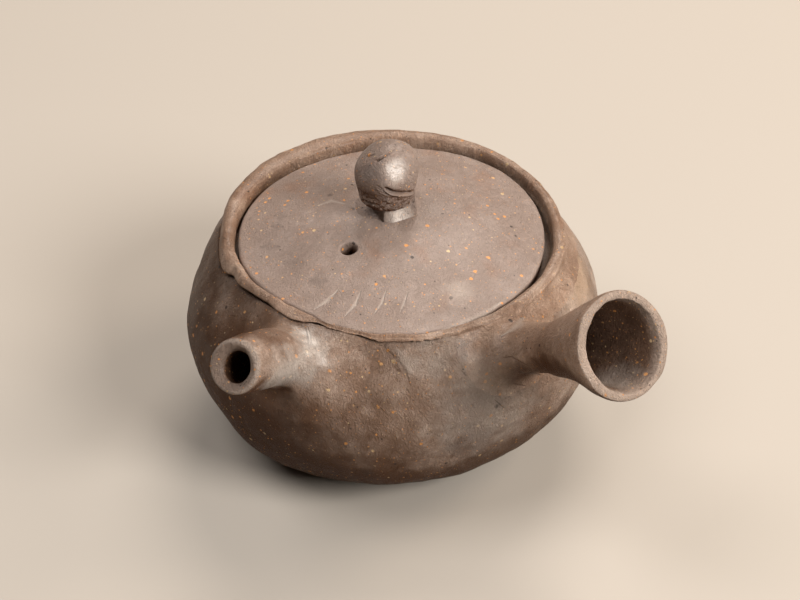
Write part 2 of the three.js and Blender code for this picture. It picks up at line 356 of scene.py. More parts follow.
# %% A finished piece
def finished(name, bm, body, node, sharp=()):
    """Makes the object in metres, with smooth shading except along the named rows."""
    if sharp:
        row = bm.verts.layers.float["row"]
        for edge in bm.edges:
            rows = {round(vert[row]) for vert in edge.verts}
            edge.smooth = not (len(rows) == 1 and rows <= set(sharp))
    bm.normal_update()
    bmesh.ops.recalc_face_normals(bm, faces=bm.faces)
    bmesh.ops.scale(bm, vec=(MM, MM, MM), verts=bm.verts)
    for face in bm.faces:
        face.smooth = True
    mesh = bpy.data.meshes.new(name)
    bm.to_mesh(mesh)
    bm.free()
    piece = bpy.data.objects.new(name, mesh)
    bpy.context.scene.collection.objects.link(piece)
    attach(piece, body)
    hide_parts(node)
    print(name, len(mesh.polygons), "faces")
    return piece


def tag(bm, name, value_at):
    """Stores a number with each point, worked out from its row, for a material to read."""
    layer = bm.verts.layers.float.new(name)
    row = bm.verts.layers.float["row"]
    for vert in bm.verts:
        vert[layer] = value_at(round(vert[row]))


def spread(start, end, spacing):
    """Even values from start to end, about spacing apart, both ends included."""
    count = max(1, round(abs(end - start) / spacing))
    return [mix(start, end, i / count) for i in range(count + 1)]


print("rows between 0 and 1 mm:", spread(0, 1, 0.3))

# %% [markdown]
# ## The foot
#
# A ball of clay is pressed into a disc, and its edge turns up into the wall. The section runs from
# the middle of the underside out to the joint and back over the floor inside. The joint ring is
# shared with the wall, so no line shows outside, as on the real pot where it is smeared shut.

# %% Foot
FOOT_EDGE = 1.6
FLOOR_Z = box_mm("base_slab")[1].z
POT_CUTS = 14
foot_radius = outline(0)
under = spread(0, foot_radius - FOOT_EDGE, 1.2)
edge_turns = spread(0.15, 0.85, 0.15)
heights = spread(1.2, JOINT_Z, 0.6)
over = spread(outline(JOINT_Z) - 3, 0, 1.5)


def foot_column(angle):
    out = outward(angle)
    stretch = waved(angle, BODY_WAVES)
    points = []
    for radius in under:
        point = out * radius * stretch
        hollow = 0.35 * (1 - smooth(radius, 6, foot_radius - 5))
        uneven = 0.12 * noise.noise(point / 5) * smooth(foot_radius - radius, 1, 6)
        point.z = max(0.0, hollow + uneven)
        points.append(point)
    top = body_skin(angle, heights[0])
    flat_radius = (foot_radius - FOOT_EDGE) * stretch
    for share in edge_turns:
        swing = share * math.pi / 2
        radius = mix(flat_radius, math.hypot(top.x, top.y), math.sin(swing))
        points.append(out * radius + UP * (top.z * (1 - math.cos(swing))))
    points += [body_skin(angle, z) for z in heights]
    for radius in over:
        point = out * radius * stretch
        swirl = 0.3 * math.sin(radius / 2.6 - angle)
        uneven = swirl + 0.5 * noise.noise(point / 9)
        point.z = FLOOR_Z - 0.15 + uneven * smooth(outline(JOINT_Z) - radius, 8, 14)
        points.append(point)
    points[0] = UP * points[0].z
    points[-1] = UP * points[-1].z
    return points


foot_rows = len(under) + len(edge_turns) + len(heights) + len(over)
bm = reshape(turned(foot_rows, POT_CUTS, poles=(True, True)), POT_CUTS, foot_column)
joint_row = len(under) + len(edge_turns) + len(heights) - 1
foot = finished("foot", bm, "pot", "base_slab", sharp=(joint_row,))

# %% [markdown]
# ## The wall
#
# Coils are laid on the foot and pinched up into a squat bowl. One closed section runs up the
# outside, over the top and down the inside, so the wall has its real thickness. The outer rows are
# close together for the marks of the fingers, and the inner ones are wider, because less is seen of
# them. A hole for the spout is cut last: its faces go, and the two edges left are bridged.

# %% Wall
WALL_THICK = 4.5
WALL_AT_LID = 3.7
# Stops round the pot: how far the top edge is rounded in mm, and how far the rim is smeared down.
TOP_EDGE = [(100, 1.0), (150, 1.0), (180, 0.7), (195, 0.3), (245, 0.25), (30, 0.8)]
MERGE = [
    (120, 0.0), (200, 0.0), (213, 0.1), (235, 0.1), (250, 0.6), (265, 1.0), (330, 1.0),
    (0, 0.8), (30, 0.6), (60, 0.4), (90, 0.15), (110, 0.0),
]
outer_z = spread(JOINT_Z, 46, 0.5) + spread(46.3, WALL_TOP_Z, 0.35)
inner_z = spread(WALL_TOP_Z - 0.6, 8, 1.15)
cove_z = [7.0, 6.2, 5.6, 5.1, 4.75]


def merge(angle):
    """0 where the rim stands on the wall as a bead, and 1 where it is smeared into the shoulder."""
    return around(MERGE, angle)


def wall_column(angle):
    out = outward(angle)
    rounding = around(TOP_EDGE, angle) * (1 - merge(angle))
    points = []
    for z in outer_z:
        points.append(body_skin(angle, z, rounding * max(0.0, 1 - (WALL_TOP_Z - z) / 1.1) ** 2))
    for z in inner_z + cove_z:
        stretch = mix(waved(angle, BODY_WAVES), waved(angle, RIM_IN_WAVES), near_top(z))
        cove = 3.2 * max(0.0, 1 - (z - 4.7) / 3.3) ** 2
        thick = mix(WALL_THICK, WALL_AT_LID, smooth(z, 47, 50)) + cove
        point = out * (outline(z) - thick) * stretch + UP * z
        point -= out * 1.3 * hand_marks(point + Vector((40, 0, 0))) * smooth(48 - z, 0, 4)
        points.append(point)
    return points


wall_rows = len(outer_z) + len(inner_z) + len(cove_z)
wall_bm = reshape(turned(wall_rows, POT_CUTS), POT_CUTS, wall_column)

# %% Hole in the wall for the spout
HOLE_Z = 41.2
HOLE_RADIUS = 3.9
FAR = 99.0


def off_hole(co):
    """Distance of a point from the hole's axis, far away on the other side of the pot."""
    return math.hypot(co.y, co.z - HOLE_Z) if co.x < -30 else FAR


gone = [f for f in wall_bm.faces if off_hole(f.calc_center_median()) < HOLE_RADIUS]
bmesh.ops.delete(wall_bm, geom=gone, context="FACES")
lips = [e for e in wall_bm.edges if e.is_boundary]
for vert in {v for e in lips for v in e.verts}:
    scale = HOLE_RADIUS / off_hole(vert.co)
    vert.co.y *= scale
    vert.co.z = HOLE_Z + (vert.co.z - HOLE_Z) * scale
bmesh.ops.bridge_loops(wall_bm, edges=lips)
wall_bm.normal_update()
wall_tree = BVHTree.FromBMesh(wall_bm)
print("hole edges", len(lips), "open edges left", sum(e.is_boundary for e in wall_bm.edges))
wall = finished("wall", wall_bm, "pot", "body_wall", sharp=(0, wall_rows - 1))

# %% [markdown]
# ## The rim
#
# One coil is laid on the wall. At the back and on the left it is still a fat round bead with a dark
# groove below it. Over the front it was pinched to a thin torn lip, and on the right it is smeared
# down into the shoulder. A plain torus could not change so much, so the section is a closed smooth
# curve through ten points, and each point slides between its bead and its smeared place.

# %% Sizes of the rim and of the lid's edge
LID_EDGE = 38.17
# Stops round the pot, in degrees and mm: the level of the rim's top, the gap between the lid and the
# rim, and how far the outside of the rim and the edge of the lid stand out past their clean curves.
LID_EDGE_WAVES = [(1, 0.011, 95), (3, 0.020, -3)]
COIL_RADIUS = 43.0
COIL_TOP = [
    (213, 53.5), (180, 54.0), (150, 54.4), (120, 55.0), (90, 55.4), (40, 55.6),
    (0, 55.4), (330, 55.0), (300, 54.4), (270, 53.9), (245, 53.5),
]
LID_GAP = [
    (205, 0.35), (225, 0.3), (245, 0.5), (262, 0.8), (280, 1.8), (292, 2.2), (315, 1.6),
    (340, 1.1), (10, 0.9), (100, 0.8), (135, 0.75), (160, 0.6), (180, 0.45),
]
COIL_EXTRA = [
    (60, 0.0), (100, -0.4), (113, -0.5), (121, -0.3), (128, 0.15), (135, 0.7), (139.5, 0.9),
    (142, 0.45), (144, -0.6), (146, -0.3), (149, 0.1), (153, 0.0), (158, -0.4), (163.5, -0.8),
    (168, -0.4), (172, -0.1), (175.4, 0.3), (180, -0.1), (182, -0.5), (185.8, -1.2), (190, -0.8),
    (195, -0.7), (201, -0.6), (205, -0.15), (208, 0.25), (213.5, -0.6), (221.6, -0.2), (225, -0.5),
    (229.6, -1.25), (233.7, -1.0), (238, -1.8), (241.7, -2.15), (247, -2.15), (258, -1.0),
    (270, 0.0), (300, 0.0),
]
LID_EXTRA = [
    (60, -0.2), (90, -0.5), (105, -0.7), (122, -0.75), (131, -0.45), (140, 0.0), (152, 0.0),
    (162, -0.3), (171, -0.6), (180, -0.65), (188.7, 0.5), (196, 0.2), (205, 0.6), (213.5, 0.15),
    (220, 0.5), (225, 0.2), (231, 0.0), (237, -0.2), (244, -0.55), (249, -0.6), (258, -0.45),
    (275, 0.0), (300, 0.0),
]


def lid_edge(angle):
    """The radius of the lid's edge at an angle."""
    return LID_EDGE * waved(angle, LID_EDGE_WAVES) + around(LID_EXTRA, angle)


print("lid", round(lid_edge(0) + lid_edge(math.pi), 1), "mm long and gap", around(LID_GAP, math.pi))


# %% Smooth closed curve
def closed_curve(corners, count):
    """Points on a closed smooth curve that passes close to its corners."""
    aims = [Vector(corner) for corner in corners]
    pulls = list(aims)
    for _ in range(3):
        after = pulls[1:] + pulls[:1]
        blurred = [(pulls[i - 1] + pulls[i] * 4 + after[i]) / 6 for i in range(len(pulls))]
        pulls = [pull + aim - soft for pull, aim, soft in zip(pulls, aims, blurred)]
    corners = pulls
    points = []
    for k in range(count):
        place = k * len(corners) / count
        i = int(place)
        t = place - i
        weights = ((1 - t) ** 3, 3 * t**3 - 6 * t * t + 4, -3 * t**3 + 3 * t * t + 3 * t + 1, t**3)
        near = [corners[(i + j) % len(corners)] for j in range(-1, 3)]
        points.append(tuple(sum(w * p[axis] for w, p in zip(weights, near)) / 6 for axis in (0, 1)))
    return points


print("a curve close to a square:", closed_curve([(0, 0), (1, 0), (1, 1), (0, 1)], 4)[0])

# %% Rim
SECTION_POINTS = 72
# Where the two ends of the coil lap, in degrees.
LAP = 144.5


def rim_section(angle):
    """Corners (radius, z) of the rim's section at an angle."""
    share = merge(angle)
    out = outward(angle)
    rough = noise.noise(out * 9) + 0.6 * noise.noise(out * 31)
    crumbled = 0.4 * noise.noise(out * 46) + 0.2 * noise.noise(out * 80)
    torn = 1 - smooth(abs(math.degrees(angle) - 218), 22, 40)
    inner = lid_edge(angle) + around(LID_GAP, angle) + 0.12 * rough
    outer = COIL_RADIUS * waved(angle, COIL_WAVES) + around(COIL_EXTRA, angle) + 0.15 * rough
    top = around(COIL_TOP, angle) + 0.1 * noise.noise(out * 14)
    seam = WALL_TOP_Z + rise(angle) + torn * (0.35 * rough + crumbled)
    at_seam = body_skin(angle, WALL_TOP_Z)
    wall_r = math.hypot(at_seam.x, at_seam.y)

    def across(share, low):
        return mix(inner, outer, share), top - low

    def skirt(drop, proud):
        point = body_skin(angle, WALL_TOP_Z - drop)
        return math.hypot(point.x, point.y) + proud * 0.8, point.z + proud * 0.6

    foot_of_rim = [(inner + 0.5, 49.6), (inner + 0.05, 51.2)]
    bead = [
        *foot_of_rim, across(0, 1.3), across(0.2, 0.25), across(0.5, 0), across(0.8, 0.5),
        (outer, mix(top, seam, 0.5)), (outer - 0.1, mix(top, seam, 0.86)), (wall_r - 1.1, seam - 0.1),
        (wall_r - 2.2, 49.8),
    ]
    smeared = [
        *foot_of_rim, across(0, 1.0), across(0.18, 0.12), across(0.5, 0),
        (mix(inner, outer, 0.85), mix(top, seam, 0.35)),
        skirt(0.3, 0.35), skirt(2.4, 0.12), skirt(4.6, -0.25), skirt(2.5, -1.6),
    ]
    return [(mix(a[0], b[0], share), mix(a[1], b[1], share)) for a, b in zip(bead, smeared)]


def rim_column(angle):
    out = outward(angle)
    flat = closed_curve(rim_section(angle), SECTION_POINTS)
    crease = 0.3 * math.exp(-(((math.degrees(angle) % 360 - LAP) / 1.1) ** 2))
    points = []
    for i, (radius, z) in enumerate(flat):
        before, after = flat[i - 1], flat[(i + 1) % SECTION_POINTS]
        normal = out * (before[1] - after[1]) + UP * (after[0] - before[0])
        point = out * radius + UP * z
        proud = hand_marks(point * 1.3, 0.5) - crease * smooth(radius, 41.5, 43.5)
        points.append(point + normal.normalized() * proud * smooth(z, 50, 52))
    return points


rim_bm = reshape(turned(SECTION_POINTS, POT_CUTS), POT_CUTS, rim_column)
rim = finished("rim", rim_bm, "pot", "rim_coil")

# %% [markdown]
# ## The seat for the lid
#
# A thin coil is pressed on inside the wall, and the lid stands on it. It is only seen with the lid
# off. It is a turned ring whose edges are worn round by wiping.

# %% Seat
SEAT_INNER = 34.0
RING_ROWS = 40
RING_CUTS = 8
seat_low, seat_high = box_mm("lid_seat")


def worn_ring(corners, angle, uneven, lobes, seed):
    """One column of a ring with a softly rounded section, uneven by up to half a millimetre."""
    out = outward(angle)
    points = []
    for radius, z in closed_curve(corners, RING_ROWS):
        radius += uneven * noise.noise(out * lobes + Vector((seed, 0, z / 3)))
        points.append(out * radius + UP * z)
    return points


def seat_column(angle):
    outer = (outline(seat_high.z) - WALL_AT_LID + 0.4) * waved(angle, RIM_IN_WAVES)
    corners = [
        (SEAT_INNER, seat_low.z - 0.2), (SEAT_INNER - 0.2, (seat_low.z + seat_high.z) / 2),
        (SEAT_INNER, seat_high.z + 0.1), (SEAT_INNER + 1.5, seat_high.z + 0.02),
        (outer - 1.6, seat_high.z), (outer, seat_high.z + 0.5), (outer + 0.4, seat_high.z - 1),
        (outer, seat_low.z - 1.4), (outer - 2, seat_low.z - 0.4),
    ]
    return worn_ring(corners, angle, uneven=0.25, lobes=7, seed=0)


seat_bm = reshape(turned(RING_ROWS, RING_CUTS), RING_CUTS, seat_column)
seat = finished("seat", seat_bm, "pot", "lid_seat")

# %% [markdown]
# ## Limbs: the spout and the handle
#
# Both are tubes rolled by hand and luted on: the clay of the root is drawn out over the wall until
# no edge is left. A boolean union would keep a hard line. Here each tube is a closed turned band
# whose rows bend onto its own axis: the outside from lip to root, a fillet that lands flat on the
# finished wall, a few rows that dip below the wall, and then the bore back to the lip.

# %% How a limb is laid out
ROOT_ROWS = 30
DIP_ROWS = 6
DIP_STEP = 0.6
HIDDEN_SHARES = (0.9, 0.75, 0.6)
HIDDEN_DEPTH = 2.4
MOUTH_LENGTH = 8
SEARCH_STEPS = [Vector((0.02, 0, 0)), Vector((0, 0.02, 0)), Vector((0, 0, 0.02))]


def limb_frame(turn, reach, z):
    """The middle of a limb's mouth, its direction away from the pot and its sideways direction."""
    away = outward(math.radians(turn))
    return away * reach + UP * z, away, Vector((-away.y, away.x, 0))


def limb_axis(limb):
    """The direction from a limb's mouth into the pot, and the upward one square to it."""
    away = limb["frame"][1]
    slant = math.radians(limb["tilt"])
    heading = away * -math.cos(slant) - UP * math.sin(slant)
    return heading, away * -math.sin(slant) + UP * math.cos(slant)


def tube_radius(limb, depth, a):
    """The radius of a limb at a depth from its mouth: its top gets flatter towards the pot."""
    squash = limb["squash"] * max(0.0, math.sin(a)) * smooth(depth, *limb["squashed"])
    return along(limb["radius"], depth) * (1 - squash)


def ring_point(limb, depth, radius, tilt, a):
    """A point of a ring round a limb's axis, a depth back from its mouth."""
    mouth, away, side = limb["frame"]
    past_mouth = min(1.0, max(0.0, depth / MOUTH_LENGTH))
    lean = math.radians(mix(limb["mouth_tilt"], tilt, past_mouth))
    slant = math.radians(tilt)
    centre = mouth - away * depth * math.cos(slant)
    centre.z -= depth * math.sin(slant) + along(limb["sag"], depth)
    up = away * -math.sin(lean) + UP * math.cos(lean)
    return centre + side * radius * math.cos(a) + up * radius * math.sin(a)


def tube_gap(limb, point):
    """How far a point is outside a limb's tube, and its direction round the limb's axis."""
    mouth, _, side = limb["frame"]
    heading, up = limb_axis(limb)
    depth = (point - mouth).dot(heading)
    off = point - mouth - heading * depth
    off.z += along(limb["sag"], depth)
    a = math.atan2(off.dot(up), off.dot(side))
    return off.length - tube_radius(limb, depth, a), a


print("a limb's mouth leans over its first", MOUTH_LENGTH, "mm")

# %% The wall as the root of a limb finds it
def level_at(angle, z):
    """The level of the plain wall that is lifted to a height z."""
    level = z
    for _ in range(5):
        level = z - rise(angle) * smooth(level, RISE_FROM_Z, WALL_TOP_Z)
    return level


def on_skin(near, depth=0.0):
    """The point of the clean wall nearest in height to a place, or a depth inside the clay there."""
    angle = math.atan2(near.y, near.x)
    over = max(0.0, near.z - WALL_TOP_Z - rise(angle))
    return body_skin(angle, level_at(angle, near.z - over), depth + 0.6 * over, marks=0.0)


def skin_gap(point):
    """How far a point is outside the clean wall."""
    angle = math.atan2(point.y, point.x)
    level = level_at(angle, point.z)
    near = body_skin(angle, level, marks=0.0)
    return (point - near).dot(near - body_skin(angle, level, 1.0, marks=0.0))


def joined(limb, point):
    """Below 0 inside the wall or the limb, with a soft fillet where the two meet."""
    wall_gap = skin_gap(point)
    gap, a = tube_gap(limb, point)
    soft = around(limb["fillet"], a)
    near = max(0.0, soft - abs(wall_gap - gap)) / soft
    return min(wall_gap, gap) - near * near * soft / 4


def settle(limb, point):
    """Moves a point along the steepest slope onto the filleted surface."""
    for _ in range(3):
        here = joined(limb, point)
        nearby = [joined(limb, point + step) for step in SEARCH_STEPS]
        grade = Vector([(gap - here) / step.length for gap, step in zip(nearby, SEARCH_STEPS)])
        point = point - grade * here / grade.length_squared
    return point


def reach_to(limb, direction, wanted):
    """How far along the wall from a limb's foot the tube is the wanted distance away."""
    reach = wanted + along(limb["radius"], FAR)
    for _ in range(6):
        near = limb["foot"] + direction * reach
        angle = math.atan2(near.y, near.x)
        skin = body_skin(angle, level_at(angle, near.z), marks=0.0)
        reach += wanted - tube_gap(limb, skin)[0]
    return reach


print("wall level under the rim in front", round(level_at(math.radians(213), WALL_TOP_Z), 1))


# %% Rows of a root
def root_path(limb, a, start):
    """Rows from the tube's last ring down to a landing on the wall, then below it and into the wall."""
    foot = limb["foot"]
    direction = limb["frame"][2] * math.cos(a) + limb["up"] * math.sin(a)
    reach = reach_to(limb, direction, around(limb["fillet"], a) + 0.4)
    land = on_skin(foot + direction * reach)
    corner = on_skin(foot + direction * reach_to(limb, direction, 0.5))
    rows = []
    for i in range(1, ROOT_ROWS + 1):
        t = i / ROOT_ROWS
        rows.append(settle(limb, start * (1 - t) ** 2 + corner * 2 * t * (1 - t) + land * t * t))
    for i in range(1, DIP_ROWS + 1):
        past = DIP_STEP * i
        rows.append(on_skin(foot + direction * (reach + past), 0.02 * past**3))
    for share in HIDDEN_SHARES:
        rows.append(on_skin(foot + direction * reach * share, HIDDEN_DEPTH))
    return rows


def find_foot(limb, tree):
    """Finds where a limb's axis meets the wall, and which way is up along the wall there."""
    mouth, away, _ = limb["frame"]
    foot, _, _, _ = tree.ray_cast(mouth, limb_axis(limb)[0])
    slope = outline(foot.z + 0.5) - outline(foot.z - 0.5)
    limb["foot"], limb["up"] = foot, (away * slope + UP).normalized()


def press(bm, near_lip, first, last):
    """Pushes the same finger marks into a limb as the wall has, weaker near its lip."""
    row = bm.verts.layers.float["row"]
    bmesh.ops.recalc_face_normals(bm, faces=bm.faces)
    bm.normal_update()
    moves = []
    for vert in bm.verts:
        amount = mix(near_lip, 1.0, smooth(vert[row], first, last))
        moves.append((vert, vert.normal * hand_marks(vert.co, amount)))
    for vert, move in moves:
        vert.co += move


print("root rows", ROOT_ROWS, "and dip rows", DIP_ROWS)

# %% A limb from its rows
# The first rows are the lip, and the last rows of the root have the wall's full finger marks.
LIP_ROWS = 8
LANDING_ROWS = 8


def limb_band(limb, cuts, column_at, outside, bore):
    """Turns and presses a limb, and stores how much painted shade its inside gets and how rough its
    clay.
    """
    rows = len(outside) + ROOT_ROWS + DIP_ROWS + len(HIDDEN_SHARES) + len(bore)
    first_bore = rows - len(bore)
    bm = reshape(turned(rows, cuts), cuts, column_at)
    press(bm, *limb["pressed"], len(outside) + ROOT_ROWS - LANDING_ROWS)

    def inside(i):
        return smooth(bore[i - first_bore], *limb["darkens"]) if i >= first_bore else 0.0

    def rough(i):
        if i < LIP_ROWS:
            return 1 - smooth(outside[i], *limb["lip"])
        return limb["rough"] if i >= first_bore else 0.0

    tag(bm, "inside", inside)
    tag(bm, "rough", rough)
    print("foot at", [round(c, 1) for c in limb["foot"]], "and", rows, "rows")
    return bm


print("lip rows", LIP_ROWS, "and landing rows", LANDING_ROWS)

# %% Spout
# A limb's radius, bore and sag are in mm at depths from its mouth. Its fillet is in mm at stops round
# its axis in degrees. "pressed" is the strength of the finger marks at its lip, and the row to which
# they stay so. "darkens" and "lip" are the depths over which the bore gets its painted shade and the
# lip smooth.
SPOUT = {
    "frame": limb_frame(180, 65.6, 57.0),
    "tilt": 25,
    "mouth_tilt": 38,
    "radius": [(0, 5.6), (0.25, 6.05), (0.8, 6.4), (2, 6.5), (5, 6.7), (9.5, 6.9)],
    "bore": [
        (-0.25, 5.3), (0.0, 4.9), (0.5, 4.4), (1.3, 3.8), (1.65, 3.62), (2.0, 3.65), (4, 4.2),
        (11, 4.6), (17, 5.2), (22, 5.6),
    ],
    "sag": [(0, 0), (1, 0)],
    "squash": 0.24,
    "squashed": (12, 23),
    "fillet": [
        (0, 12), (40, 6.5), (65, 3.5), (90, 3.0), (115, 5.0), (140, 7), (180, 8), (225, 7),
        (270, 6.5), (290, 8), (315, 12),
    ],
    "pressed": (0.4, 4),
    "darkens": (0.7, 2.6),
    "lip": (0.2, 1.0),
    "rough": 0.6,
}
SPOUT_BORE_TILT = 35
SPOUT_CUTS = 4
spout_outside = [0.0, 0.08, 0.25, 0.5, 0.8, 1.2, 1.6, 2.0] + spread(2.5, 8, 0.5)
spout_bore = spread(22, 3, 1.0) + [
    2.5, 2.1, 1.9, 1.75, 1.6, 1.45, 1.3, 1.1, 0.8, 0.5, 0.3, 0.1, -0.1, -0.25,
]
find_foot(SPOUT, wall_tree)


def spout_column(a):
    """All rows at one direction a round the spout's axis."""
    points = []
    side = SPOUT["frame"][2]
    left = max(0.0, -math.cos(a)) ** 1.5
    for depth in spout_outside:
        radius = tube_radius(SPOUT, depth, a) + 0.6 * left * math.exp(-depth / 3)
        points.append(ring_point(SPOUT, depth, radius, SPOUT["tilt"], a))
    points += root_path(SPOUT, a, points[-1])
    for depth in spout_bore:
        narrow = 1 - 0.1 * math.cos(a) ** 2 * smooth(depth, -0.2, 1.2)
        uneven = 1 + 0.05 * noise.noise(Vector((math.cos(a) * 1.6, math.sin(a) * 1.6, 4)))
        radius = along(SPOUT["bore"], depth) * narrow * uneven
        point = ring_point(SPOUT, depth, radius, SPOUT_BORE_TILT, a)
        points.append(point - side * 0.5 * math.exp(-max(0.0, depth) / 8))
    return points


spout_bm = limb_band(SPOUT, SPOUT_CUTS, spout_column, spout_outside, spout_bore)
spout = finished("spout", spout_bm, "pot", "spout")

# %% Handle
HANDLE = {
    "frame": limb_frame(252.8, 77.5, 67.0),
    "tilt": 31,
    "mouth_tilt": 36,
    "radius": [
        (0, 12.0), (0.2, 12.25), (0.6, 12.35), (1.6, 12.2), (6, 10.8), (13, 8.7), (20, 7.3),
        (27, 6.6), (30, 6.55),
    ],
    "bore": [
        (-0.12, 10.9), (0.0, 10.4), (0.3, 10.1), (1.0, 9.95), (3, 9.3), (7, 8.3), (14, 6.3),
        (22, 4.4), (30, 3.2), (33, 1.6),
    ],
    "sag": [(0, 0), (10, 0.1), (20, 0.6), (27, 1.1), (33, 1.4)],
    "squash": 0.2,
    "squashed": (8, 30),
    "fillet": [
        (0, 4.5), (45, 2.5), (90, 3.0), (135, 6.5), (180, 8), (225, 6), (270, 4), (315, 4),
    ],
    "pressed": (0.5, 10),
    "darkens": (0.2, 3.0),
    "lip": (0.1, 0.4),
    "rough": 1.0,
}
HANDLE_CUTS = 5
handle_outside = [0.0, 0.1, 0.2, 0.4, 0.6, 0.9, 1.3, 1.7, 2.1] + spread(2.6, 22, 0.5)
handle_bore = spread(33, 3, 0.9) + [2.4, 1.9, 1.4, 1.0, 0.6, 0.3, 0.15, 0.0, -0.08, -0.12]
find_foot(HANDLE, wall_tree)


def handle_wobble(a, depth, seed):
    """How far the flared end is out of round: wider on the right, lower on top, uneven all round."""
    lip_place = Vector((2.2 * math.cos(a), 2.2 * math.sin(a), seed))
    uneven = 0.2 * noise.noise(lip_place) + 0.25 * noise.noise(lip_place * 2.7) * (seed - 1)
    wide, low = 0.6 * max(0.0, math.cos(a)), 0.5 * max(0.0, math.sin(a))
    return (wide - low + uneven) * math.exp(-max(0.0, depth) / 5)


def handle_column(a):
    points = []
    for depth in handle_outside:
        radius = tube_radius(HANDLE, depth, a) + handle_wobble(a, depth, 1)
        points.append(ring_point(HANDLE, depth, radius, HANDLE["tilt"], a))
    points += root_path(HANDLE, a, points[-1])
    for depth in handle_bore:
        radius = along(HANDLE["bore"], depth) + handle_wobble(a, depth, 2)
        radius += 0.4 * math.sin(a) ** 2 - 0.2 * max(0.0, -math.cos(a))
        points.append(ring_point(HANDLE, depth, radius, HANDLE["tilt"], a))
    return points


handle_bm = limb_band(HANDLE, HANDLE_CUTS, handle_column, handle_outside, handle_bore)
handle = finished("handle", handle_bm, "pot", "handle")

# %% [markdown]
# ## The lid
#
# The lid is a slab pressed into a low dome over a mould. Its top is drawn in close rows so that the
# knife and the fingers can leave their marks. The vent is a hole pushed through with a stick, so its
# edge is soft: the faces there go, the edge is drawn to a circle, and short rings lead down into it.

# %% Lid plate
lid_low, lid_high = box_mm("lid_plate")
LID_EDGE_Z = 52.9
LID_CROWN = 8.0
LID_CUTS = 12
# Stops round the lid: the radius of its top edge, in mm.
LID_ROUND = [(213, 0.5), (250, 0.6), (150, 1.0), (30, 1.1), (300, 0.8)]
dome_shares = spread(0, 1, 1 / 68)
edge_shares = spread(0, 1, 0.16)[1:]
under_radii = [38.0, 37.8, 37.0, 36.0, 35.0, 33.4, 32.6, 30.0, 27.0, 24.0, 18.0, 12.0, 6.0, 0.0]


def dome_z(radius):
    """The level of the lid's clean top at a radius."""
    share = min(1.0, max(0.0, radius - LID_CROWN) / (LID_EDGE - LID_CROWN))
    return mix(LID_EDGE_Z, lid_high.z, max(0.0, math.cos(share * math.pi / 2)) ** 1.15)


def lid_column(angle):
    out = outward(angle)
    edge = lid_edge(angle)
    ratio = edge / LID_EDGE
    soft = around(LID_ROUND, angle)
    points = []
    for share in dome_shares:
        clean = share * (LID_EDGE - soft)
        radius = clean * (1 + (ratio - 1) * share**3)
        point = out * radius + UP * dome_z(clean)
        point.z += hand_marks(point * 1.1 + Vector((7, 7, 70)), 0.35)
        points.append(point)
    top = points[-1]
    start_r = math.hypot(top.x, top.y)
    edge_r = edge + 0.06 * noise.noise(out * 20)
    for share in edge_shares:
        swing = share * math.pi / 2
        radius = mix(start_r, edge_r, math.sin(swing))
        points.append(out * radius + UP * (top.z - soft * (1 - math.cos(swing))))
    for radius in under_radii:
        hollow = 1.6 * (1 - smooth(radius, 22, 32)) + 3.2 * (1 - smooth(radius, 0, 24))
        bevel = 0.9 * smooth(radius, 36.8, 38)
        points.append(out * radius * ratio + UP * (lid_low.z + hollow + bevel))
    points[0] = UP * points[0].z
    points[-1] = UP * points[-1].z
    return points


lid_rows = len(dome_shares) + len(edge_shares) + len(under_radii)
lid_bm = reshape(turned(lid_rows, LID_CUTS, poles=(True, True)), LID_CUTS, lid_column)
bmesh.ops.recalc_face_normals(lid_bm, faces=lid_bm.faces)
print("lid rows", lid_rows)

# %% Vent through the lid
VENT_AT = Vector((-16.2, 2.57, 0))
VENT_EDGE = 2.45
VENT_FINE = 4.2
LID_TOP_FROM_Z = 53.5
# The rings that lead down into the vent: their radius and how far each is below the last, in mm.
VENT_RINGS = [(2.3, 0.04), (2.14, 0.12), (2.04, 0.25), (2.0, 0.5)]


def off_vent(co):
    """Distance of a point from the vent's axis."""
    return math.hypot(co.x - VENT_AT.x, co.y - VENT_AT.y)


def draw_round(verts, radius):
    """Moves points level with the table onto a circle round the vent's middle."""
    for vert in verts:
        scale = radius / off_vent(vert.co)
        vert.co.x = mix(VENT_AT.x, vert.co.x, scale)
        vert.co.y = mix(VENT_AT.y, vert.co.y, scale)


near_vent = [e for e in lid_bm.edges if all(off_vent(v.co) < VENT_FINE for v in e.verts)]
bmesh.ops.subdivide_edges(lid_bm, edges=near_vent, cuts=1, use_grid_fill=True)
gone = [f for f in lid_bm.faces if off_vent(f.calc_center_median()) < VENT_EDGE]
bmesh.ops.delete(lid_bm, geom=gone, context="FACES")
open_edges = [e for e in lid_bm.edges if e.is_boundary]
loop = [e for e in open_edges if e.verts[0].co.z > LID_TOP_FROM_Z]
draw_round({v for e in open_edges for v in e.verts}, VENT_EDGE)
for radius, drop in VENT_RINGS:
    grown = bmesh.ops.extrude_edge_only(lid_bm, edges=loop)["geom"]
    ring = [g for g in grown if isinstance(g, bmesh.types.BMVert)]
    draw_round(ring, radius)
    bmesh.ops.translate(lid_bm, vec=UP * -drop, verts=ring)
    loop = [g for g in grown if isinstance(g, bmesh.types.BMEdge) and g.is_boundary]
bmesh.ops.bridge_loops(lid_bm, edges=[e for e in lid_bm.edges if e.is_boundary])
print("vent: open edges left", sum(e.is_boundary for e in lid_bm.edges))
lid = finished("lid_disc", lid_bm, "lid", "lid_plate")

# %% [markdown]
# ## The flange under the lid
#
# A ring under the lid keeps it on when the pot is tipped. It is a short turned band with wiped edges.

# %% Flange
flange_low, flange_high = box_mm("lid_flange")
FLANGE_OUTER = flange_high.x
FLANGE_INNER = 28.8


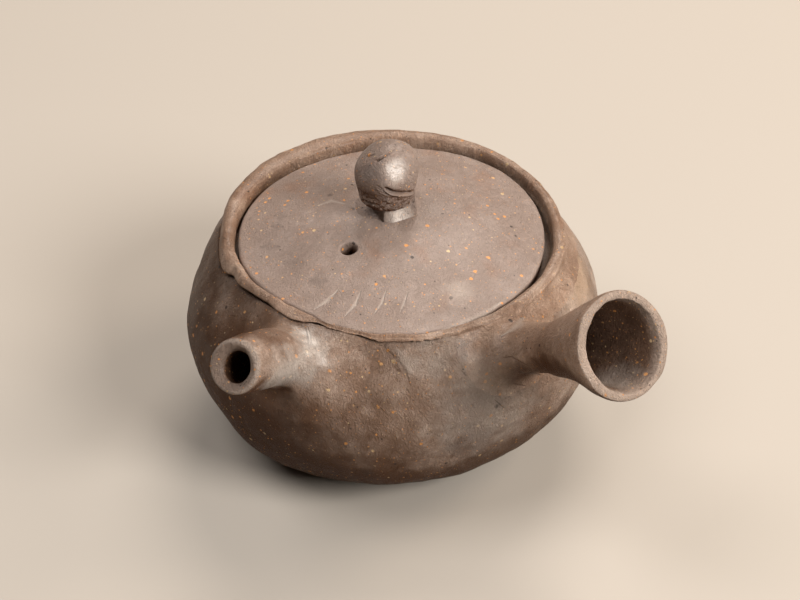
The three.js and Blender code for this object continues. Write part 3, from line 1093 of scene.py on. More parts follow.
def flange_column(angle):
    top = flange_high.z + 0.8
    corners = [
        (FLANGE_INNER, top + 1.5), (FLANGE_INNER, top - 2), (FLANGE_INNER + 0.1, flange_low.z + 0.6),
        (FLANGE_INNER + 0.6, flange_low.z - 0.3), (FLANGE_OUTER - 1.1, flange_low.z - 0.3),
        (FLANGE_OUTER + 0.05, flange_low.z + 1.0), (FLANGE_OUTER, top - 2), (FLANGE_OUTER, top + 1.5),
    ]
    return worn_ring(corners, angle, uneven=0.2, lobes=8, seed=5)


flange_bm = reshape(turned(RING_ROWS, RING_CUTS), RING_CUTS, flange_column)
flange = finished("flange", flange_bm, "lid", "lid_flange")

# %% [markdown]
# ## The neck of the knob
#
# The neck is a square post cut with a knife. Its front edge is crisp, and its face, cut by the blade,
# has a painted highlight and a satin sheen. At the back and on the left a thumb smeared it into the
# lid. It is a turned band whose rows are rounded squares, so one corner can stay sharp while the
# others soften.

# %% Neck
NECK_X, NECK_Y = 2.44, 1.78
NECK_HALF = 4.5
NECK_TURN = math.radians(55.2)
NECK_FRONT = math.radians(235)
NECK_BASE_Z = 56.0
# How square the post is at the back and in front, as the power of a rounded square.
NECK_POWERS = (5, 22)
NECK_CUTS = 6
neck_z = spread(56.4, 58.0, 0.4) + spread(58.1, 60.3, 0.12) + spread(60.6, 65.4, 0.3)


def neck_column(angle):
    local = angle - NECK_TURN
    front = math.cos(angle - NECK_FRONT)
    power = mix(*NECK_POWERS, smooth(front, 0.0, 0.7))
    square = (abs(math.cos(local)) ** power + abs(math.sin(local)) ** power) ** (-1 / power)
    points = [Vector((NECK_X, NECK_Y, NECK_BASE_Z))]
    for z in neck_z:
        above = max(0.0, z - 58.15)
        smeared = 4.2 * math.exp(-above / 0.55) + 1.6 * math.exp(-above / 2.2)
        wiped = 0.6 * math.exp(-above / 0.9) * smooth(front, 0.7, 0.95)
        lean = 1 - 0.08 * smooth(z, 58, 64)
        foot_flare = min(4.5, mix(smeared, wiped, smooth(front, -0.2, 0.7)))
        radius = NECK_HALF * square * lean + foot_flare
        point = Vector((NECK_X + radius * math.cos(angle), NECK_Y + radius * math.sin(angle), z))
        points.append(point + Vector((1, 1, 0)) * 0.12 * noise.noise(point / 2.3))
    points.append(Vector((NECK_X, NECK_Y, neck_z[-1])))
    return points


neck_rows = len(neck_z) + 2
neck_bm = reshape(turned(neck_rows, NECK_CUTS, poles=(True, True)), NECK_CUTS, neck_column)
neck = finished("neck", neck_bm, "lid", "knob_neck")

# %% [markdown]
# ## The knob
#
# The knob is a lump of clay folded over with the fingers: a flap at the upper left, a smooth pressed
# face in front, and a deep fold below it over a torn waist. It starts as a fine ball made of
# triangles, because these have no pole. Each point moves along its own direction.

# %% Lump of the knob
KNOB = Vector((0.3, 2.6, 70.3))
KNOB_RADIUS = 8.0
# The lump's radius in mm at angles down from its top.
KNOB_PROFILE = [
    (0, 7.7), (18, 7.78), (34, 7.93), (50, 8.0), (64, 7.92), (78, 7.79), (92, 7.7), (107, 7.75),
    (122, 8.17), (131, 8.86), (137, 9.35), (143.5, 9.45), (149, 9.2), (159, 8.5), (180, 8.0),
]
# The pot's front is between the spout and the handle. These run to the right along it, from it into
# the pot and down, and up across it.
FRONT_RIGHT = Vector((0.54, -0.84, 0)).normalized()
INWARD = Vector((0.733, 0.473, -0.489)).normalized()
FRONT_UP = FRONT_RIGHT.cross(INWARD)


def faced(right, up):
    """The direction of a place on the front of the knob, by its share to the right and up."""
    front = math.sqrt(max(0.0, 1 - right * right - up * up))
    return (FRONT_RIGHT * right + FRONT_UP * up - INWARD * front).normalized()


# Each swelling or hollow: its direction, how wide it is as a share of the radius, and its height.
KNOB_LUMPS = [
    (faced(0.72, 0.69), 0.5, 0.75), (faced(-0.64, 0.75), 0.5, -0.85), (faced(0.7, -0.71), 0.25, 0.5),
    (Vector((0.6, 0.6, 0.3)).normalized(), 0.6, 0.3),
]


def lump_radius(way):
    """The radius of the lump in a direction, before it is pressed and folded."""
    lumps = 0.0
    for at, wide, high in KNOB_LUMPS:
        lumps += high * math.exp(-(((way - at).length / wide) ** 2))
    down = math.degrees(math.acos(max(-1.0, min(1.0, way.z))))
    return along(KNOB_PROFILE, down) + lumps


def spot(x, y):
    """The direction of the place on the front, x mm to the right of the middle and y mm above it."""
    radius = KNOB_RADIUS
    for _ in range(8):
        way = faced(x / radius, y / radius)
        radius = mix(radius, lump_radius(way), 0.7)
    return way


print("knob about", round(2 * lump_radius(faced(1, 0)), 1), "mm across")

# %% Facets and folds of the knob
# Each pressed facet: where it faces, how far its plane is from the middle, and how soft its edge is.
PRESSED = [(spot(2.9, 0.9), 7.15, 0.7), (spot(-4.1, -0.2), 7.25, 1.2), (spot(-4.0, 5.2), 6.9, 0.8)]
# Each fold: its line in mm, then its width above and below, its depth, the lip beside it (above if
# more than 0), and over what share of the line it deepens at the left and fades out at the right.
FOLDS = [
    ([(-0.6, -2.9), (0.1, -3.6), (1.4, -4.4), (3.6, -4.9), (5.6, -4.95), (7.0, -4.7)],
     0.6, 0.18, 1.15, -0.3, 0.3, 0.4),
    ([(-2.5, 3.3), (-1.3, 3.9), (0.1, 4.75), (1.5, 5.6), (2.9, 6.5)],
     0.15, 0.3, 1.0, 0.5, 0.12, 0.9),
    ([(-4.9, 4.4), (-4.4, 4.6), (-3.2, 5.0), (-1.7, 5.2)], 0.16, 0.22, 0.5, 0.3, 0.1, 0.9),
    ([(-5.9, -6.57), (-3.5, -7.2), (-1.95, -7.9)], 0.3, 0.3, 0.5, 0.25, 0.3, 0.3),
    ([(-2.6, -2.4), (-1.4, -3.1), (-0.2, -3.8)], 0.16, 0.16, 0.3, -0.15, 0.3, 0.3),
    ([(-2.4, -2.95), (-1.1, -3.7), (0.3, -4.3)], 0.16, 0.16, 0.35, -0.2, 0.3, 0.3),
    ([(-2.0, -3.6), (-0.8, -4.25), (0.8, -4.95)], 0.16, 0.16, 0.25, -0.15, 0.3, 0.3),
]
FOLD_REACH = 3.0
folds = [([spot(*at) * KNOB_RADIUS for at in line], *rest) for line, *rest in FOLDS]


def off_line(point, line):
    """Distance from a line, 1 above it or -1 below it, and the share of the way along it."""
    best = (FAR, 1.0, 0.0)
    total = len(line) - 1
    for i, (a, b) in enumerate(zip(line, line[1:])):
        run = b - a
        t = min(1.0, max(0.0, (point - a).dot(run) / run.length_squared))
        gap = point - (a + run * t)
        if gap.length < best[0]:
            best = (gap.length, math.copysign(1, gap.dot(point.cross(run))), (i + t) / total)
    return best


def softer_min(a, b, soft):
    """The smaller of two values, with the corner between them rounded."""
    near = max(0.0, soft - abs(a - b)) / soft
    return min(a, b) - near * near * soft / 4


def knob_point(way):
    """Where a point of the ball ends up: pressed first, then folded, then wrinkled underneath."""
    radius = lump_radius(way)
    for normal, distance, soft in PRESSED:
        radius = softer_min(radius, distance / max(0.3, way.dot(normal)), soft)
    ball = way * KNOB_RADIUS
    for line, above, below, depth, lip, start, end in folds:
        gap, side, place = off_line(ball, line)
        if gap < FOLD_REACH:
            ends = smooth(place, -0.02, start) * smooth(1.02 - place, 0, end)
            width = above if side > 0 else below
            radius -= depth * ends * math.exp(-((gap / width) ** 2))
            if side * lip > 0:
                crest = (gap - 2.2 * width) / (1.6 * width)
                radius += abs(lip) * ends * math.exp(-(crest**2))
    low = smooth(-way.z, 0.1, 0.3)
    round_z = Vector((way.x, way.y, 0)).normalized() * 11 + UP * way.z * 5
    torn = 0.2 * noise.noise(ball * 1.1) + 0.1 * noise.noise(ball * 3.1)
    wrinkled = 0.13 * noise.noise(round_z) + 0.07 * noise.noise(round_z * 2.1)
    radius += (wrinkled + torn * smooth(-way.z, 0.3, 0.6)) * low
    radius += 0.05 * noise.noise(ball * 0.9) + 0.03 * noise.noise(ball * 2.3)
    return KNOB + way * radius


# %% Knob head
BALL_SUBDIVISIONS = 7
knob_bm = bmesh.new()
bmesh.ops.create_icosphere(knob_bm, subdivisions=BALL_SUBDIVISIONS, radius=1.0)
for vert in knob_bm.verts:
    vert.co = knob_point(vert.co.normalized())
knob = finished("knob", knob_bm, "lid", "knob_head")

# %% [markdown]
# ## Nodes in a few words
#
# A material is a small graph. Building it by hand would take a page for each finish, so a few
# helpers add a node, do a sum or blend two colours. Every pattern is measured in millimetres of the
# pot itself, so the clay runs on from piece to piece and stays in place in every pose.

# %% Helpers for nodes
def feed(tree, made, inputs):
    """Gives each named input of a node its number or its link."""
    for key, value in inputs.items():
        if isinstance(value, bpy.types.NodeSocket):
            tree.links.new(value, made.inputs[key])
        else:
            made.inputs[key].default_value = value


def node(tree, kind, inputs, **settings):
    """Adds a node with its settings and inputs."""
    made = tree.nodes.new("ShaderNode" + kind)
    for key, value in settings.items():
        setattr(made, key, value)
    feed(tree, made, inputs)
    return made


def calc(tree, operation, a, b=0.0):
    """A sum or a comparison of two numbers."""
    return node(tree, "Math", {0: a, 1: b}, operation=operation).outputs[0]


def plus(tree, base, value, share):
    """The base and a share of another value."""
    return calc(tree, "ADD", base, calc(tree, "MULTIPLY", value, share))


def vec(tree, operation, a, b=(0, 0, 0)):
    """Vector maths: DOT_PRODUCT, LENGTH and DISTANCE give a number, and the others a vector."""
    made = node(tree, "VectorMath", {0: a, 1: b}, operation=operation)
    return made.outputs["Value" if operation in ("DOT_PRODUCT", "LENGTH", "DISTANCE") else "Vector"]


def scaled(tree, vector, number):
    """A vector made a number of times longer."""
    return node(tree, "VectorMath", {0: vector, "Scale": number}, operation="SCALE").outputs["Vector"]


def ease(tree, value, low, high, start=0.0, end=1.0):
    """A soft step from start to end as a value goes from low to high."""
    inputs = {"Value": value, "From Min": low, "From Max": high, "To Min": start, "To Max": end}
    return node(tree, "MapRange", inputs, interpolation_type="SMOOTHSTEP").outputs["Result"]


def blend(tree, share, a, b):
    """Colour a at a share of 0, colour b at 1."""
    made = node(tree, "Mix", {"Factor": share, "A": a, "B": b}, data_type="RGBA")
    return made.outputs["Result"]


def cloud(tree, vector, size, detail=3.0, roughness=0.55):
    """Noise from 0 to 1 whose lumps are about a size across, in millimetres."""
    inputs = {"Vector": vector, "Scale": 1 / size, "Detail": detail, "Roughness": roughness}
    return node(tree, "TexNoise", inputs).outputs["Fac"]


# %% Helpers for node groups
VECTOR_LABELS = ("Place", "Start", "Run", "Pace", "Centre")


def new_group(name, inputs, outputs):
    """An empty node group, with its input and output sockets."""
    group = bpy.data.node_groups.new(name, "ShaderNodeTree")
    for label in inputs:
        kind = "NodeSocketVector" if label in VECTOR_LABELS else "NodeSocketFloat"
        group.interface.new_socket(label, in_out="INPUT", socket_type=kind)
    for label in outputs:
        group.interface.new_socket(label, in_out="OUTPUT", socket_type="NodeSocketFloat")
    given = group.nodes.new("NodeGroupInput").outputs
    return group, given, group.nodes.new("NodeGroupOutput").inputs


def use(tree, group, inputs):
    """Adds a node that runs a group, and gives its outputs."""
    made = tree.nodes.new("ShaderNodeGroup")
    made.node_tree = group
    feed(tree, made, inputs)
    return made.outputs


print("node helpers ready")

# %% [markdown]
# ## Grog, wrinkles and marks as shared effects
#
# Grog is fired clay, crushed and mixed in. It shows as orange, cream and dark grains. A cell pattern
# gives one grain to a cell, and a chance for each cell leaves most of them out. Wiping leaves fine
# leathery wrinkles along the stroke: noise that is squeezed in one direction. A tool leaves a line,
# which is the distance to a segment, measured as if it were pressed in from the front.

# %% Grog
def grog_group():
    """Grains of one size, and a chance from 0 to 1 for each, which picks its colour."""
    labels = ["Place", "Spacing", "Size", "Share"]
    group, given, result = new_group("grog", labels, ["Mask", "Chance"])
    spacing = given["Spacing"]
    wobble = cloud(group, given["Place"], 0.6)
    per_mm = calc(group, "DIVIDE", 1.0, spacing)
    cells = node(group, "TexVoronoi", {"Vector": given["Place"], "Scale": per_mm}).outputs
    chance = node(group, "SeparateColor", {"Color": cells["Color"]}).outputs
    gap = calc(group, "MULTIPLY", cells["Distance"], spacing)
    wide = calc(group, "MULTIPLY", given["Size"], calc(group, "ADD", 0.35, chance["Green"]))
    wide = calc(group, "MULTIPLY", wide, plus(group, 0.4, wobble, 1.2))
    grain = ease(group, gap, wide, calc(group, "MULTIPLY", wide, 0.6))
    chosen = calc(group, "LESS_THAN", chance["Red"], given["Share"])
    group.links.new(calc(group, "MULTIPLY", grain, chosen), result["Mask"])
    group.links.new(chance["Blue"], result["Chance"])
    return group


GROG = grog_group()
print("grog group with", len(GROG.nodes), "nodes")

# %% Wrinkles along a stroke
LEAN = 0.55


def wrinkle_group(name, stroke):
    """Leathery wrinkles whose long way is the stroke's direction."""
    group, given, result = new_group(name, ["Place", "Width"], ["Height"])
    lengthways = Vector(stroke).normalized()
    across = lengthways.orthogonal().normalized()
    third = lengthways.cross(across)
    place, width = given["Place"], given["Width"]
    drift = node(group, "TexNoise", {"Vector": place, "Scale": 0.3, "Detail": 1.0})
    bent = vec(group, "ADD", place, scaled(group, drift.outputs["Color"], 2.4))
    x = calc(group, "DIVIDE", vec(group, "DOT_PRODUCT", bent, across), width)
    y = calc(group, "DIVIDE", vec(group, "DOT_PRODUCT", bent, third), width)
    z = calc(group, "MULTIPLY", vec(group, "DOT_PRODUCT", bent, lengthways), 0.5)
    z = calc(group, "DIVIDE", z, width)
    laid = node(group, "CombineXYZ", {"X": x, "Y": y, "Z": z}).outputs["Vector"]
    shape = {"Scale": 1.0, "Detail": 3.0, "Roughness": 0.65, "Distortion": 0.9}
    wrinkled = node(group, "TexNoise", {"Vector": laid, **shape})
    group.links.new(wrinkled.outputs["Fac"], result["Height"])
    return group


LEANING = wrinkle_group("leaning_wrinkles", FRONT_RIGHT * LEAN - FRONT_UP)
UPRIGHT = wrinkle_group("upright_wrinkles", UP)
print("wrinkles lean by", round(math.degrees(math.atan(LEAN))), "degrees")


# %% Lines and soft spots
def flat_on(point):
    """A point moved straight in or out, onto the plane through the pot's middle that faces its front."""
    point = Vector(point)
    return point - INWARD * point.dot(INWARD)


def line_group():
    """A line from Start along Run, whose width changes from one end to the other."""
    labels = ["Place", "Ragged", "Start", "Run", "Pace", "From", "To"]
    group, given, result = new_group("pressed_line", labels, ["Mask"])
    here = vec(group, "SUBTRACT", given["Place"], given["Start"])
    passed = vec(group, "DOT_PRODUCT", here, given["Pace"])
    share = node(group, "Clamp", {"Value": passed}).outputs["Result"]
    gap = vec(group, "DISTANCE", here, scaled(group, given["Run"], share))
    width = node(group, "Mix", {"Factor": share, "A": given["From"], "B": given["To"]}).outputs["Result"]
    width = calc(group, "MULTIPLY", width, given["Ragged"])
    group.links.new(ease(group, gap, width, 0.0), result["Mask"])
    return group


def spot_group():
    """A soft patch round a centre, with an uneven edge."""
    group, given, result = new_group("soft_spot", ["Place", "Centre", "Radius"], ["Mask"])
    place, radius = given["Place"], given["Radius"]
    gap = vec(group, "LENGTH", vec(group, "SUBTRACT", place, given["Centre"]))
    uneven = calc(group, "MULTIPLY", calc(group, "SUBTRACT", cloud(group, place, 4.0), 0.5), radius)
    reach = calc(group, "ADD", gap, uneven)
    mask = ease(group, reach, radius, calc(group, "MULTIPLY", radius, 0.1))
    group.links.new(mask, result["Mask"])
    return group


LINE = line_group()
SPOT = spot_group()
print("line and spot groups ready")

# %% [markdown]
# ## The clay
#
# One clay makes the whole pot, and the hand changes it: grey and pale where it was rubbed, rough
# inside the tubes. Light is painted on it too: pale highlights, and brown shade low on the spout's
# side, underneath and inside the tubes. Each step below adds its part to one look: the colour, the
# roughness, the satin sheen of rubbed clay and the height. It could be one long graph, but steps are
# easier to change.

# %% Tones
ORANGE = (0.78, 0.34, 0.10, 1)
CREAM = (0.70, 0.50, 0.28, 1)
SOOT = (0.045, 0.034, 0.03, 1)
# Painted shade on the left side of the knob.
PAINTED_KNOB_SHADE = (0.13, 0.105, 0.095, 1)
# Painted shade in brown: under the spout, the handle and the knob, inside the tubes, in creases and
# cuts, on surfaces that face down and low on the spout's side.
PAINTED_SHADE_BROWN = (0.085, 0.034, 0.013, 1)
RUST = (0.30, 0.15, 0.085, 1)
# Painted warm light on the far right of the body.
PAINTED_WARM_LIGHT = (0.8, 0.55, 0.37, 1)
# Pale rubbed clay and painted highlight: on torn lips, the knob's pressed face, the lid's strokes and
# front edge, the shoulder and the ridges beside cuts and creases.
RUBBED_AND_HIGHLIGHT = (0.55, 0.46, 0.395, 1)
# Painted highlight on the spout's right side and root, and painted light on the wall below the handle.
PAINTED_HIGHLIGHT_PALE = (0.68, 0.615, 0.56, 1)
# Painted highlight on the knife-cut face of the neck.
PAINTED_NECK_HIGHLIGHT = (0.9, 0.8, 0.72, 1)
BODY_PALE, BODY_DARK = (0.69, 0.54, 0.445, 1), (0.275, 0.175, 0.122, 1)
RIM_PALE, RIM_DARK = (0.66, 0.48, 0.37, 1), (0.30, 0.185, 0.125, 1)
LID_PALE, LID_DARK = (0.38, 0.3, 0.26, 1), (0.27, 0.2, 0.165, 1)
print("ten tones and three pairs")

# %% Patterns that every clay shares
MM_PER_M = 1000.0
BROAD_MM, PATCH_MM, GRAIN_MM = 15.0, 4.0, 0.45
WRINKLE_MM, FINE_WRINKLE_MM = 0.6, 0.33
# Between these levels the wrinkles turn from leaning to upright, as the strokes did.
STROKE_TURNS_Z = (42.0, 47.0)


def patterns(tree):
    """The places, clouds and wrinkles of the pot, in millimetres."""
    coordinates = node(tree, "TexCoord", {}).outputs
    place = scaled(tree, coordinates["Object"], MM_PER_M)
    at = {"place": place}
    at["upward"] = node(tree, "SeparateXYZ", {"Vector": coordinates["Normal"]}).outputs["Z"]
    at["broad"] = cloud(tree, place, BROAD_MM, 4.0)
    at["patches"] = cloud(tree, vec(tree, "ADD", place, (40, 0, 9)), PATCH_MM, 4.0, 0.6)
    at["grain"] = cloud(tree, place, GRAIN_MM, 2.0, 0.7)
    lean = use(tree, LEANING, {"Place": place, "Width": WRINKLE_MM})["Height"]
    upright = use(tree, UPRIGHT, {"Place": place, "Width": WRINKLE_MM})["Height"]
    elsewhere = vec(tree, "ADD", place, (5, 60, 7))
    at["fine"] = use(tree, LEANING, {"Place": elsewhere, "Width": FINE_WRINKLE_MM})["Height"]
    level = node(tree, "SeparateXYZ", {"Vector": place}).outputs["Z"]
    turned_up = ease(tree, level, *STROKE_TURNS_Z)
    change = calc(tree, "MULTIPLY", calc(tree, "SUBTRACT", upright, lean), turned_up)
    at["folds"] = calc(tree, "ADD", lean, change)
    return at


print("wrinkles", WRINKLE_MM, "and", FINE_WRINKLE_MM, "mm wide")

# %% The fire and the wiping hand
# Painted shade in brown, low on the spout's side: the way in which it fades, and its range in mm.
BROWN_WAY = tuple(FRONT_RIGHT * 0.8 + FRONT_UP * 0.6)
BROWN_RANGE = (24.0, -5.0)
BROWN_SPREAD = 34.0
BROWN_MOST = 0.985
# Surfaces that face down get painted brown shade and no sheen, and those that face up were rubbed to a
# sheen.
UNDERSIDE_SHADE_RANGE = (0.05, -0.5)
UNDERSIDE_SHADE_MOST = 0.96
SHEEN_RANGE = (-0.1, 0.6)
SHEEN_MOST = 0.26
TONE_RANGE = (1.08, 2.0)
RUST_RANGE = (0.52, 0.72)
RUST_MOST = 0.28
WRINKLE_HEIGHT, FINE_HEIGHT, GRAIN_HEIGHT = 1.5, 0.75, 0.06


def fired(tree, at, pale, dark, wrinkles, roughness, side_shading):
    """The plain clay: tones in soft patches, painted brown shade low on the spout's side and underneath,
    and the wrinkles of wiping.
    """
    place, broad = at["place"], at["broad"]
    low_side = vec(tree, "DOT_PRODUCT", place, BROWN_WAY)
    browned = plus(tree, low_side, broad, BROWN_SPREAD)
    brown = ease(tree, browned, *BROWN_RANGE, 0.0, side_shading)
    tone = plus(tree, calc(tree, "MULTIPLY", broad, 1.1), at["patches"], 0.7)
    # The wrinkles also set the tone, paler on their crests and darker in their hollows: painted light
    # and shade on top of their bump.
    tone = plus(tree, tone, at["folds"], 0.6)
    tone = plus(tree, tone, at["grain"], 0.3)
    colour = blend(tree, ease(tree, tone, *TONE_RANGE), dark, pale)
    rusty = cloud(tree, vec(tree, "ADD", place, (7, 90, 3)), 9.0, 3.0)
    colour = blend(tree, ease(tree, rusty, *RUST_RANGE, 0.0, RUST_MOST), colour, RUST)
    colour = blend(tree, calc(tree, "MULTIPLY", brown, BROWN_MOST), colour, PAINTED_SHADE_BROWN)
    upward = plus(tree, at["upward"], calc(tree, "SUBTRACT", broad, 0.5), 0.8)
    colour = blend(tree, ease(tree, upward, *UNDERSIDE_SHADE_RANGE, 0.0, UNDERSIDE_SHADE_MOST), colour, PAINTED_SHADE_BROWN)
    sheen = ease(tree, upward, *SHEEN_RANGE, 0.0, SHEEN_MOST)
    rough = plus(tree, roughness, calc(tree, "SUBTRACT", at["patches"], 0.5), 0.35)
    height = calc(tree, "MULTIPLY", at["folds"], WRINKLE_HEIGHT * wrinkles)
    height = plus(tree, height, at["fine"], FINE_HEIGHT * wrinkles)
    height = plus(tree, height, at["grain"], GRAIN_HEIGHT)
    return {"colour": colour, "sheen": sheen, "rough": rough, "height": height}


print("brown way", [round(c, 2) for c in BROWN_WAY])

# %% Torn clay and grog
# The grog in three sizes: the spacing and size in mm, the share of places with a grain, and its
# colour and depth.
GRAINS = [
    (2.9, 0.47, 0.8, 0.85, 0.03), (1.2, 0.22, 0.65, 0.75, 0.015), (0.65, 0.12, 0.55, 0.55, 0.0),
]
CREAM_CHANCE = (0.45, 0.8)
SOOT_CHANCE = 0.86


def add_grog(tree, at, look):
    """Reads where the clay is torn or inside a tube, makes torn clay paler, paints shade inside a tube,
    and strews the grains.
    """
    at["torn"] = node(tree, "Attribute", {}, attribute_name="rough").outputs["Fac"]
    inside = node(tree, "Attribute", {}, attribute_name="inside").outputs["Fac"]
    colour = blend(tree, calc(tree, "MULTIPLY", at["torn"], 0.5), look["colour"], RUBBED_AND_HIGHLIGHT)
    # Painted shade inside the tubes.
    colour = blend(tree, calc(tree, "MULTIPLY", inside, 0.85), colour, PAINTED_SHADE_BROWN)
    for spacing, size, share, most, sunk in GRAINS:
        more = plus(tree, share, at["torn"], 0.3)
        shape = {"Place": at["place"], "Spacing": spacing, "Size": size, "Share": more}
        grog = use(tree, GROG, shape)
        hue = blend(tree, ease(tree, grog["Chance"], *CREAM_CHANCE), ORANGE, CREAM)
        hue = blend(tree, calc(tree, "GREATER_THAN", grog["Chance"], SOOT_CHANCE), hue, SOOT)
        colour = blend(tree, calc(tree, "MULTIPLY", grog["Mask"], most), colour, hue)
        look["rough"] = plus(tree, look["rough"], grog["Mask"], 0.1)
        look["height"] = plus(tree, look["height"], grog["Mask"], -sunk)
    look["colour"] = colour


print("grog in", len(GRAINS), "sizes")

# %% Marks
TAPER = 0.75


def mark_mask(tree, at, points, width):
    """Where a mark is: a soft spot round one point, or a line through more, thin at its ends."""
    if len(points) == 1:
        shape = {"Place": at["place"], "Centre": points[0], "Radius": width}
        return use(tree, SPOT, shape)["Mask"]
    if len(points) == 2:
        middle = (Vector(points[0]) + Vector(points[1])) / 2
        points = [points[0], tuple(middle), points[1]]
    last = len(points) - 1
    masks = []
    for i, (start, end) in enumerate(zip(points, points[1:])):
        wide = [width * (1 - TAPER * (2 * k / last - 1) ** 2) for k in (i, i + 1)]
        run = flat_on(end) - flat_on(start)
        line = {"Start": flat_on(start), "Run": run, "Pace": run / run.length_squared}
        line |= {"Place": at["flat"], "Ragged": at["ragged"], "From": wide[0], "To": wide[1]}
        masks.append(use(tree, LINE, line)["Mask"])
    whole = masks[0]
    for other in masks[1:]:
        whole = calc(tree, "MAXIMUM", whole, other)
    return whole


def add_marks(tree, at, look, marks):
    """Adds each mark's tone, sheen and depth. Lines are pressed in from the pot's front only."""
    behind = vec(tree, "DOT_PRODUCT", at["place"], tuple(INWARD))
    at["flat"] = vec(tree, "SUBTRACT", at["place"], scaled(tree, tuple(INWARD), behind))
    ragged = plus(tree, 0.45, cloud(tree, at["place"], 0.8), 1.2)
    at["ragged"] = calc(tree, "MULTIPLY", ragged, calc(tree, "LESS_THAN", behind, 0.0))
    for points, width, hue, strength, depth, shine in marks:
        mask = mark_mask(tree, at, points, width)
        look["colour"] = blend(tree, calc(tree, "MULTIPLY", mask, strength), look["colour"], hue)
        if shine:
            shone = calc(tree, "MULTIPLY", mask, shine)
            look["sheen"] = calc(tree, "MAXIMUM", look["sheen"], shone)
        look["height"] = plus(tree, look["height"], mask, -depth)


print("a line tapers to", 1 - TAPER, "of its width")

# %% The whole finish
SPECULAR = 0.08
SHEEN_ROUGHNESS = 0.33
CRUMB_MM = 0.7


def clay(name, pale, dark, marks=(), wrinkles=1.0, roughness=0.42, side_shading=1.0):
    """A finish between two tones, with its own marks, wrinkles, roughness and share of painted side
    shade.
    """
    made = bpy.data.materials.new(name)
    made.use_nodes = True
    tree = made.node_tree
    shader = tree.nodes["Principled BSDF"]
    shader.inputs["Specular IOR Level"].default_value = SPECULAR
    shader.inputs["Coat Roughness"].default_value = SHEEN_ROUGHNESS
    at = patterns(tree)
    look = fired(tree, at, pale, dark, wrinkles, roughness, side_shading)
    add_grog(tree, at, look)
    add_marks(tree, at, look, marks)
    crumbs = cloud(tree, at["place"], CRUMB_MM, 3.0, 0.7)
    rough = plus(tree, look["rough"], at["torn"], 0.3)
    height = plus(tree, look["height"], calc(tree, "MULTIPLY", crumbs, at["torn"]), 0.7)
    bump = node(tree, "Bump", {"Height": height, "Distance": MM, "Strength": 1.0})
    whole = calc(tree, "SUBTRACT", 1.0, at["torn"])
    sheen = calc(tree, "MULTIPLY", look["sheen"], whole)
    tree.links.new(look["colour"], shader.inputs["Base Color"])
    tree.links.new(rough, shader.inputs["Roughness"])
    tree.links.new(sheen, shader.inputs["Coat Weight"])
    tree.links.new(bump.outputs["Normal"], shader.inputs["Normal"])
    print(name, len(tree.nodes), "nodes")
    return made


print("sheen with a roughness of", SHEEN_ROUGHNESS)

# %% [markdown]
# ## The marks of the making
#
# These are the marks a potter leaves: strokes of a wiping finger, cuts where a spout was luted on,
# soot from the kiln. Many of them paint light as well: pale highlights on lit faces, and brown shade
# under the limbs, in creases and on the knob's shaded side. An image could be painted, but a short
# list of places is clear and stays sharp.
# A mark has its points on the pot in mm, its width in mm, its tone and how strong the tone is, its
# depth in mm (raised if below 0), and how much satin sheen it gives.

# %% Marks of the spout and the wall
CREASE = [
    (-35.3, -21.0, 50.2), (-35.9, -23.6, 49.3), (-36.0, -25.4, 47.8), (-36.3, -26.9, 46.1),
    (-37.0, -28.2, 44.1),
]
# The two cuts at the spout's root are painted with shade and a pale ridge between them, the spout's
# right side and root with a painted highlight, and the wall under the spout with painted shade.
SPOUT_MARKS = [
    ([(-37.8, 0.3, 50.1), (-43.7, -4.9, 49.9)], 0.32, PAINTED_SHADE_BROWN, 0.75, 0.4, 0),
    ([(-37.4, -0.2, 50.1), (-42.9, -5.1, 50.2)], 0.28, PAINTED_SHADE_BROWN, 0.5, 0.3, 0),
    ([(-37.6, 0.0, 50.1), (-42.8, -4.8, 50.2)], 0.28, RUBBED_AND_HIGHLIGHT, 0.8, -0.2, 0),
    ([(-45.5, -4.2, 47.8)], 9.0, PAINTED_HIGHLIGHT_PALE, 0.85, 0, 0.9),
    ([(-56.0, -6.6, 50.5)], 10.0, PAINTED_HIGHLIGHT_PALE, 0.6, 0, 0.8),
    ([(-45.1, 3.8, 48.8)], 4.0, RUST, 0.5, 0, 0),
    ([(-50.0, -2.0, 37.0)], 14.0, PAINTED_SHADE_BROWN, 0.75, 0, 0),
]
